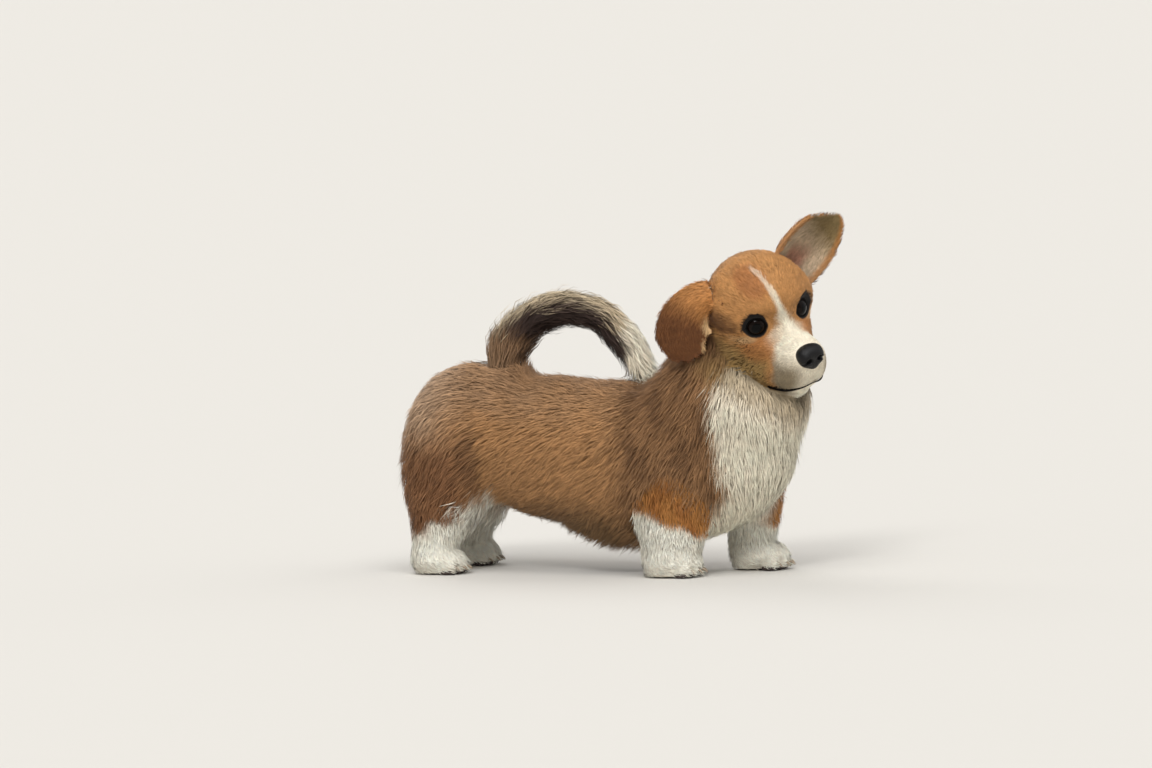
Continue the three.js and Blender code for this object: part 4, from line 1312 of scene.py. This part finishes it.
def trunkLie(p):
    x, y, z = p.T
    side = np.sign(y + 4) * ease(np.abs(y + 4), 0, 30)

    def way(name):
        ahead, outward, up = trunkLies[name]
        return np.stack([np.full(len(p), ahead), outward * side, np.full(len(p), up)], -1)

    bib = (1 - ease(np.abs(np.arctan2(y + 5, x - 80)), 0.7, 1.3)) * ease(x, 84, 104)
    rear = ease(-x, 100, 140)
    lie = mixed(way("back"), way("flanks"), 1 - ease(z, 100, 148))
    lie = mixed(lie, way("ruff"), ease(x, 10, 50))
    lie = mixed(lie, way("bib"), bib)
    lie = mixed(lie, way("rear"), rear * (1 - ease(z, 128, 160)))
    return mixed(lie, way("under"), (1 - ease(z, 46, 66)) * (1 - rear) * (1 - bib))


def headLie(q):
    lie = unit(q - np.float32(headForm["noseTip"]))
    lie = lie + np.stack([0 * q[:, 0], 0 * q[:, 0], -0.35 * ease(-q[:, 2], 0, 30)], -1)
    for sign in (1, -1):
        offset = q - np.float32(eyeMiddle(sign))
        lie = lie + unit(offset) * (1.1 * (1 - ease(sizes(offset), 11, 17)))[:, None]
    return lie @ headTurn.T


def coatLie(points, parts):
    lie = np.zeros((len(points), 3))
    for index, name in enumerate(partNames):
        chosen = parts == index
        if not chosen.any():
            continue
        p = points[chosen]
        if name in ("trunk", "neck"):
            way = trunkLie(p)
        elif name == "head":
            way = headLie(toHead(p))
        elif name == "tail":
            share, offset = nearLine(p.astype(np.float32), tailCurve)
            way = unit(between(unit(np.gradient(tailCurve, axis=0)), share))
            way = way + 0.35 * unit(offset)
        elif name.startswith("ear"):
            ear = earForms[name[3:].lower()]
            share = nearLine(toHead(p), ear["curve"])[0]
            way = between(ear["forward"], share) @ headTurn.T
        else:
            low = 1 - ease(p[:, 2], 8, 22)
            ahead = np.tile((0.12, 0.0, -1.0), (len(p), 1))
            way = mixed(ahead, np.tile((1.0, 0.0, -0.35), (len(p), 1)), low)
        lie[chosen] = way
    return unit(lie)


# Each piece of the coat: tufts to a square millimetre, length and width in mm, how many
# lengths a tuft is made of, how strongly it gathers into locks of what size, how far it
# sways, how much its tone varies, how many tufts have dark tips, and how high the tips
# stand as a share of the depth of the coat.
coatPieces = {
    "coatFace": {
        "density": 1.75, "length": (2.6, 4.4), "width": 0.42, "rows": 2, "lock": 3.5, "gather": 0.12,
        "wave": 0.1, "tint": 0.07, "dark": 0, "stand": (0.35, 0.85), "slot": "coat_tan",
    },
    "coatCrown": {
        "density": 1.5, "length": (5, 8), "width": 0.45, "rows": 2, "lock": 5, "gather": 0.2,
        "wave": 0.3, "tint": 0.09, "dark": 0, "stand": (0.45, 1.1), "slot": "coat_tan",
    },
    "coatCheeks": {
        "density": 1.3, "length": (7, 12), "width": 0.48, "rows": 2, "lock": 6, "gather": 0.25,
        "wave": 0.5, "tint": 0.1, "dark": 0, "stand": (0.4, 0.92), "slot": "coat_tan",
    },
    "coatEars": {
        "density": 0.95, "length": (4, 6.5), "width": 0.5, "rows": 2, "lock": 4, "gather": 0.15,
        "wave": 0.2, "tint": 0.08, "dark": 0, "stand": (0.45, 1.05), "slot": "coat_tan",
    },
    "coatRuff": {
        "density": 0.6, "length": (16, 28), "width": 0.62, "rows": 2, "lock": 7, "gather": 0.32,
        "wave": 1.1, "tint": 0.13, "dark": 0.35, "stand": (0.45, 1.22), "slot": "coat_sable",
    },
    "coatBib": {
        "density": 0.6, "length": (16, 28), "width": 0.62, "rows": 2, "lock": 7, "gather": 0.32,
        "wave": 1.1, "tint": 0.04, "dark": 0, "stand": (0.45, 1.2), "slot": "coat_cream",
    },
    "coatBack": {
        "density": 0.85, "length": (11, 18), "width": 0.55, "rows": 2, "lock": 6, "gather": 0.22,
        "wave": 0.6, "tint": 0.1, "dark": 0.35, "stand": (0.45, 1.1), "slot": "coat_sable",
    },
    "coatFlanks": {
        "density": 0.75, "length": (12, 20), "width": 0.58, "rows": 2, "lock": 6.5, "gather": 0.25,
        "wave": 0.8, "tint": 0.1, "dark": 0.3, "stand": (0.45, 1.12), "slot": "coat_sable",
    },
    "coatRump": {
        "density": 0.6, "length": (14, 24), "width": 0.62, "rows": 2, "lock": 7, "gather": 0.28,
        "wave": 1.0, "tint": 0.11, "dark": 0.3, "stand": (0.45, 1.25), "slot": "coat_sable",
    },
    "coatBelly": {
        "density": 0.7, "length": (14, 24), "width": 0.6, "rows": 2, "lock": 7, "gather": 0.32,
        "wave": 1.0, "tint": 0.12, "dark": 0.3, "stand": (0.55, 1.2), "slot": "coat_sable",
    },
    "coatForelegs": {
        "density": 1.0, "length": (6, 10), "width": 0.5, "rows": 2, "lock": 5, "gather": 0.2,
        "wave": 0.4, "tint": 0.05, "dark": 0, "stand": (0.45, 1.1), "slot": "coat_cream",
    },
    "coatHindlegs": {
        "density": 1.0, "length": (8, 14), "width": 0.52, "rows": 2, "lock": 6, "gather": 0.22,
        "wave": 0.5, "tint": 0.06, "dark": 0, "stand": (0.45, 1.15), "slot": "coat_cream",
    },
    "coatFeet": {
        "density": 0.8, "length": (3.5, 6), "width": 0.5, "rows": 2, "lock": 4, "gather": 0.12,
        "wave": 0.2, "tint": 0.04, "dark": 0, "stand": (0.4, 1.0), "slot": "coat_cream",
    },
    "coatTail": {
        "density": 0.95, "length": (20, 32), "width": 0.7, "rows": 3, "lock": 7, "gather": 0.35,
        "wave": 1.3, "tint": 0.12, "dark": 0.1, "stand": (0.5, 1.3), "slot": "coat_dark",
    },
}
coatHabits = {
    "stray": 0.07,  # share of tufts that stand out of the rest
    "strayStand": 1.3,
    "turn": 0.19,
    "roll": 0.35,
    "ridge": 0.45,  # height of a blade's back, to half its width
    "sideShade": 0.4,  # how far a blade's sides turn from the lie of the coat
    "patch": 0.0015,  # half size of a tuft on the unwrap
    "darkTip": 0.62, "paleTip": 1.08,
    "bright": (0.92, 0.14),  # at the root, and how much more at the tip: darker roots, partly real and partly painted shade low in the coat
    "tallest": {"coatFace": 4, "coatCrown": 5.5, "coatCheeks": 8, "coatEars": 3.4},  # mm off the skin
    # no roots nearer than this, in mm, to the floor, the eyes, the nose and the lips
    "floorGap": 3.0, "eyeGap": 0.8, "noseGap": 0.6,
    "lipPlaces": [2, 14, 36], "lipGaps": [4.2, 2.6, 1.4],
}
coatPlaces = {  # borders between the pieces, in mm and degrees
    "mixing": 4, "backAbove": 132, "bellyBelow": 56, "rumpBehind": -102, "ruffAhead": 22,
    "bibAhead": 76, "bibAngle": 52, "crownBehind": -6, "cheeksBehind": -10, "crownAbove": 12,
    "breechesAbove": 70, "feetBelow": 20,
}
coatNames = list(coatPieces)


def pieceOf(points, parts, random):  # which coat piece each root belongs to, mixed at the borders
    at = coatPlaces
    p = points + random.normal(size=points.shape) * at["mixing"]
    x, y, z = p.T
    q = toHead(p)
    found = np.full(len(points), coatNames.index("coatFlanks"))

    def put(name, where):
        found[where] = coatNames.index(name)

    put("coatBack", z > at["backAbove"])
    put("coatBelly", z < at["bellyBelow"])
    put("coatRump", x < at["rumpBehind"])
    ruff = (x > at["ruffAhead"]) & ~isPart(parts, "head")
    put("coatRuff", ruff)
    angle = np.degrees(np.abs(np.arctan2(y + 5, x - 80)))
    put("coatBib", ruff & (angle < at["bibAngle"]) & (x > at["bibAhead"]))
    head = isPart(parts, "head")
    high = q[:, 2] > at["crownAbove"]
    put("coatFace", head)
    put("coatCrown", head & (q[:, 0] < at["crownBehind"]) & high)
    put("coatCheeks", head & (q[:, 0] < at["cheeksBehind"]) & ~high)
    for index, name in enumerate(partNames):
        chosen = parts == index
        if name.startswith("ear"):
            put("coatEars", chosen)
        elif name == "tail":
            put("coatTail", chosen)
        elif name.startswith("fore"):
            put("coatForelegs", chosen)
            put("coatFeet", chosen & (z < at["feetBelow"]))
        elif name.startswith("hind"):
            put("coatHindlegs", chosen)
            put("coatRump", chosen & (z > at["breechesAbove"]))
            put("coatFeet", chosen & (z < at["feetBelow"]))
    return found


def skinRoots(random):  # roots spread over the skin, as many as each piece asks for
    skinMesh.calc_loop_triangles()
    corners = np.empty(len(skinMesh.loop_triangles) * 3, np.int32)
    skinMesh.loop_triangles.foreach_get("vertices", corners)
    corners = corners.reshape(-1, 3)
    a, b, c = (points[corners[:, i]] for i in range(3))
    normals = np.cross(b - a, c - a)
    areas = sizes(normals) / 2
    most = max(piece["density"] for piece in coatPieces.values())
    tries = int(areas.sum() * most)
    chosen = random.choice(len(corners), tries, p=areas / areas.sum())
    u, v = random.random((2, tries))
    flip = u + v > 1
    u, v = np.where(flip, 1 - u, u), np.where(flip, 1 - v, v)
    roots = a[chosen] + (b - a)[chosen] * u[:, None] + (c - a)[chosen] * v[:, None]
    parts = partsOf(roots)
    kind = pieceOf(roots, parts, random)
    density = np.array([piece["density"] for piece in coatPieces.values()])[kind]
    keep = random.random(tries) < density / most
    q = toHead(roots)
    keep &= roots[:, 2] > coatHabits["floorGap"]
    for sign in (1, -1):
        near = sizes(q - np.float32(eyeMiddle(sign))) < 13
        keep &= ~(near & (eyeOpening(q, sign) < coatHabits["eyeGap"]))
    head = isPart(parts, "head")
    gap = np.interp(q[:, 0], coatHabits["lipPlaces"], coatHabits["lipGaps"])
    keep &= ~(head & (sizes(nearLine(q, lipLine)[1]) < gap))
    keep &= ~(head & (noseField(q) < coatHabits["noseGap"]))
    return roots[keep], unit(normals[chosen][keep]), parts[keep], kind[keep]


def lengthShare(roots, parts):  # shorter on the muzzle, around the eyes and at the lips
    share = np.ones(len(roots))
    head = isPart(parts, "head")
    q = toHead(roots[head])
    short = 1 - 0.35 * ease(q[:, 0], 0, 20)
    short *= 0.4 + 0.6 * ease(sizes(nearLine(q, lipLine)[1]), 3, 11)
    for sign in (1, -1):
        offset = q - np.float32(eyeMiddle(sign))
        short *= 0.6 + 0.4 * ease(sizes(offset), 12, 19)
    share[head] = short
    for name, ear in earForms.items():
        own = isPart(parts, "ear" + name.title())
        share[own] = 1 - 0.45 * ease(nearLine(toHead(roots[own]), ear["curve"])[0], 0.6, 1)
    return share


def growPaths(roots, normals, parts, piece, lengths, random):
    # each tuft rises from its root to its own height in the coat and lies along the body
    shares = np.linspace(0, 1, piece["rows"] + 1)
    count = len(roots)
    lie = coatLie(roots, parts)
    lie = lie + random.normal(size=lie.shape) * coatHabits["turn"]
    stand = random.uniform(*piece["stand"], count)
    stray = (random.random(count) < coatHabits["stray"]) & (lengthShare(roots, parts) > 0.9)
    stand = np.where(stray, coatHabits["strayStand"] * stand, stand)
    lie[stray] += random.normal(size=(int(stray.sum()), 3)) * 0.3
    onSheet = isPart(parts, "earLeft", "earRight") | (roots[:, 2] < 16)
    _, level = coatLevel(roots.astype(np.float32))
    depth = np.clip(-level, 1.0, 20)
    depth[onSheet] = 1.4
    rise = np.sin(np.clip(shares * 1.25, 0, 1) * math.pi / 2) ** 0.9
    path, outs = [roots - normals * 0.4], [normals]
    for k in range(1, piece["rows"] + 1):
        out, _ = coatLevel(path[-1].astype(np.float32))
        out = np.where(onSheet[:, None], normals, out)
        along = unit(lie - dots(lie, out)[:, None] * out)
        place = path[-1] + along * (lengths / piece["rows"])[:, None]
        _, have = coatLevel(place.astype(np.float32))
        want = (rise[k] * stand - 1) * depth
        flat = dots(place - roots, normals)
        move = np.where(onSheet, rise[k] * stand * depth - flat, want - have)
        path.append(place + out * np.clip(move, -9, 9)[:, None])
        outs.append(out)
    return np.stack(path, 1), np.stack(outs, 1)


def gathered(path, roots, piece, random):  # tufts lean toward the nearest leader of a lock
    count = len(roots)
    shares = np.linspace(0, 1, piece["rows"] + 1)
    locks = max(1, int(count / (piece["density"] * piece["lock"] ** 2)))
    leaders = random.permutation(count)[:locks]
    tree = KDTree(len(leaders))
    for i, at in enumerate(roots[leaders]):
        tree.insert(at, i)
    tree.balance()
    lock = np.array([tree.find(at)[1] for at in roots])
    pull = piece["gather"] * random.uniform(0.4, 1.3, count)[:, None] * shares[None] ** 1.4
    pull = pull * (sizes(roots - roots[leaders[lock]]) < piece["lock"] * 1.6)[:, None]
    return path * (1 - pull[:, :, None]) + path[leaders[lock]] * pull[:, :, None], lock, len(leaders)


def bladeFaces(count, rows):  # three sides to a blade, closed at its root, one point at its tip
    quads = [(k * 3 + e, k * 3 + (e + 1) % 3, k * 3 + 3 + (e + 1) % 3, k * 3 + 3 + e)
             for k in range(rows - 1) for e in range(3)]
    last = (rows - 1) * 3
    tris = [(last + e, last + (e + 1) % 3, last + 3) for e in range(3)] + [(0, 2, 1)]
    starts = (np.arange(count) * (rows * 3 + 1))[:, None, None]
    quadFaces = (np.array(quads)[None] + starts).reshape(-1, 4)
    triFaces = (np.array(tris)[None] + starts).reshape(-1, 3)
    corners = np.concatenate([quadFaces.ravel(), triFaces.ravel()])
    return corners, np.concatenate([np.full(len(quadFaces), 4), np.full(len(triFaces), 3)])


def growPiece(name, roots, normals, parts, random):
    piece = coatPieces[name]
    count, rows = len(roots), piece["rows"]
    shares = np.linspace(0, 1, rows + 1)
    lengths = random.uniform(*piece["length"], count) * lengthShare(roots, parts)
    path, outs = growPaths(roots, normals, parts, piece, lengths, random)
    if name in coatHabits["tallest"]:
        kept = bareField(path[:, -1].astype(np.float32)) < coatHabits["tallest"][name]
        roots, parts, lengths, path, outs = (v[kept] for v in (roots, parts, lengths, path, outs))
        count = len(roots)
    path, lock, lockCount = gathered(path, roots, piece, random)
    along = np.gradient(path, axis=1)
    along /= np.linalg.norm(along, axis=2, keepdims=True) + 1e-9
    across = np.cross(along, outs)
    across /= np.linalg.norm(across, axis=2, keepdims=True) + 1e-9
    phase = random.uniform(0, 6.28, lockCount)[lock] + random.normal(size=count) * 0.5
    turns = shares[None] * lengths[:, None] / 14 * 6.28
    sway = np.sin(turns + phase[:, None]) * shares[None] * piece["wave"]
    path = path + across * sway[:, :, None]
    # blades narrow to a point, and their sides are shaded with the coat around them
    width = piece["width"] * random.uniform(0.7, 1.3, count) * (0.6 + 0.4 * lengthShare(roots, parts))
    taper = np.array([0.75, 1.0, 0.8])[:rows]
    roll = (random.normal(size=count) * coatHabits["roll"])[:, None, None]
    acrossRolled = across * np.cos(roll) + outs * np.sin(roll)
    outsRolled = outs * np.cos(roll) - across * np.sin(roll)
    half = (width[:, None] * taper[None])[:, :, None] / 2
    body = path[:, :rows]
    side = acrossRolled[:, :rows] * half
    ridge = outsRolled[:, :rows] * half * coatHabits["ridge"]
    rings = np.stack([body + side, body - side, body + ridge], 2)
    rings[..., 2] = np.maximum(rings[..., 2], 0.4)
    path[..., 2] = np.maximum(path[..., 2], 0.3)
    verts = np.concatenate([rings.reshape(count, rows * 3, 3), path[:, rows:]], 1).reshape(-1, 3)
    corners, counts = bladeFaces(count, rows)
    mesh = buildMesh(name, verts, corners, counts)
    tilt = random.normal(size=(count, 1, 3)) * 0.12
    facing = outs[:, :rows] + tilt
    lean = across[:, :rows] * coatHabits["sideShade"]
    shading = np.stack([facing + lean, facing - lean, facing], 2).reshape(count, rows * 3, 3)
    shading = np.concatenate([shading, outs[:, rows:] + tilt], 1).reshape(-1, 3)
    mesh.normals_split_custom_set_from_vertices(unit(shading).astype(np.float32))
    # colour from root to tip, with the tone of the lock and of the tuft itself
    rootTone, tipTone = coatTone(roots, parts)
    lockTone = np.clip(random.normal(size=lockCount), -2, 2)[lock]
    tone = 1 + piece["tint"] * (0.5 * lockTone + 0.6 * np.clip(random.normal(size=count), -2, 2))
    dark = random.random(count) < piece["dark"]
    tipTone = tipTone * np.where(dark, coatHabits["darkTip"], coatHabits["paleTip"])[:, None]
    vertexShare = np.append(np.repeat(shares[:rows], 3), 1.0)
    toTip = vertexShare[None, :, None]
    colour = rootTone[:, None] * (1 - toTip) + tipTone[:, None] * toTip
    bright = coatHabits["bright"][0] + coatHabits["bright"][1] * vertexShare
    colour = np.clip(colour * bright[None, :, None] * tone[:, None, None], 0.004, 0.92)
    paint(mesh, colour.reshape(-1, 3))
    # each tuft is a small patch at its root's place on the unwrap
    uv = unwrapped(roots.astype(np.float32), parts, roots.astype(np.float32))
    sideShare = np.append(np.tile([-1.0, 1.0, 0.0], rows), 0.0)
    patch = np.stack([sideShare, vertexShare * 2 - 1], -1) * coatHabits["patch"]
    vertexUv = (uv[:, None] + patch[None]).reshape(-1, 2)
    layer = mesh.uv_layers.new(name="OFBake")
    layer.data.foreach_set("uv", vertexUv[corners].astype(np.float32).ravel())
    addPiece(name, mesh, coatMaterial)
    report(name, count, "tufts", int((counts - 2).sum()), "triangles")


coatRandom = np.random.default_rng(7)
rootPoints, rootNormals, rootParts, rootKinds = skinRoots(coatRandom)
for index, name in enumerate(coatNames):
    own = rootKinds == index
    if own.any():
        growPiece(name, rootPoints[own], rootNormals[own], rootParts[own], coatRandom)
report("coat done")


# The camera stands where the photo was taken from, far enough away to flatten depth as it does.
view = {
    "scale": 0.8,  # mm to a pixel of the photo at the puppy
    "origin": (620, 571),  # pixel of the sizes' own zero
    "image": (1152, 768),
    "right": (0.8918, 0.4510, -0.0348),
    "up": (-0.0084, 0.0935, 0.9956),
    "toward": (0.4523, -0.8876, 0.0872),
    "distance": 15000,
    "sensor": 36,
}
target = (view["image"][0] / 2 - view["origin"][0]) * view["scale"] * np.array(view["right"]) \
    + (view["origin"][1] - view["image"][1] / 2) * view["scale"] * np.array(view["up"])
eye = (target + np.array(view["toward"]) * view["distance"] + shift) / 1000
cameraData = bpy.data.cameras.new("camera")
cameraData.sensor_width = view["sensor"]
cameraData.lens = view["sensor"] * view["distance"] / (view["image"][0] * view["scale"])
camera = bpy.data.objects.new("camera", cameraData)
bpy.context.scene.collection.objects.link(camera)
basis = np.eye(4)
basis[:3] = np.stack([view["right"], view["up"], view["toward"], eye], -1)
camera.matrix_world = Matrix(basis.tolist())
bpy.context.scene.camera = camera

floorSettings = {"half": 80.0, "colour": "#cfccc6"}
floorMesh = bpy.data.meshes.new("studioFloor")
h = floorSettings["half"]
floorMesh.from_pydata([(-h, -h, 0), (h, -h, 0), (h, h, 0), (-h, h, 0)], [], [(0, 1, 2, 3)])
# painted studio floor: pale and matt
floorPaint = newMaterial("mattPaint", {
    "Base Color": (*linear(floorSettings["colour"]), 1), "Roughness": 0.8})[0]
floorMesh.materials.append(floorPaint)
floor = bpy.data.objects.new("studioFloor", floorMesh)
bpy.context.scene.collection.objects.link(floor)

lights = {
    "keyLight": {"from": (0.35, -0.65, 1.25), "angle": 45, "strength": 1.8},
    "catchLight": {"from": (0.2, -0.85, 0.75), "angle": 15, "strength": 1.0},
    "fillLight": {"from": (1.0, 0.5, 0.6), "angle": 70, "strength": 0.5},
    "backLight": {"from": (-0.8, 0.6, 0.9), "angle": 40, "strength": 0.7},
}
skySettings = {"colour": "#f3f1ee", "strength": 0.5}
for name, settings in lights.items():
    data = bpy.data.lights.new(name, "SUN")
    data.angle = math.radians(settings["angle"])
    data.energy = settings["strength"]
    lamp = bpy.data.objects.new(name, data)
    bpy.context.scene.collection.objects.link(lamp)
    lamp.rotation_mode = "QUATERNION"
    lamp.rotation_quaternion = (-Vector(settings["from"])).to_track_quat("-Z", "Y")
world = bpy.data.worlds.new("studio")
world.use_nodes = True
sky = world.node_tree.nodes["Background"]
sky.inputs["Color"].default_value = (*linear(skySettings["colour"]), 1)
sky.inputs["Strength"].default_value = skySettings["strength"]
bpy.context.scene.world = world
bpy.context.scene.view_settings.view_transform = "Standard"
report("stage done")
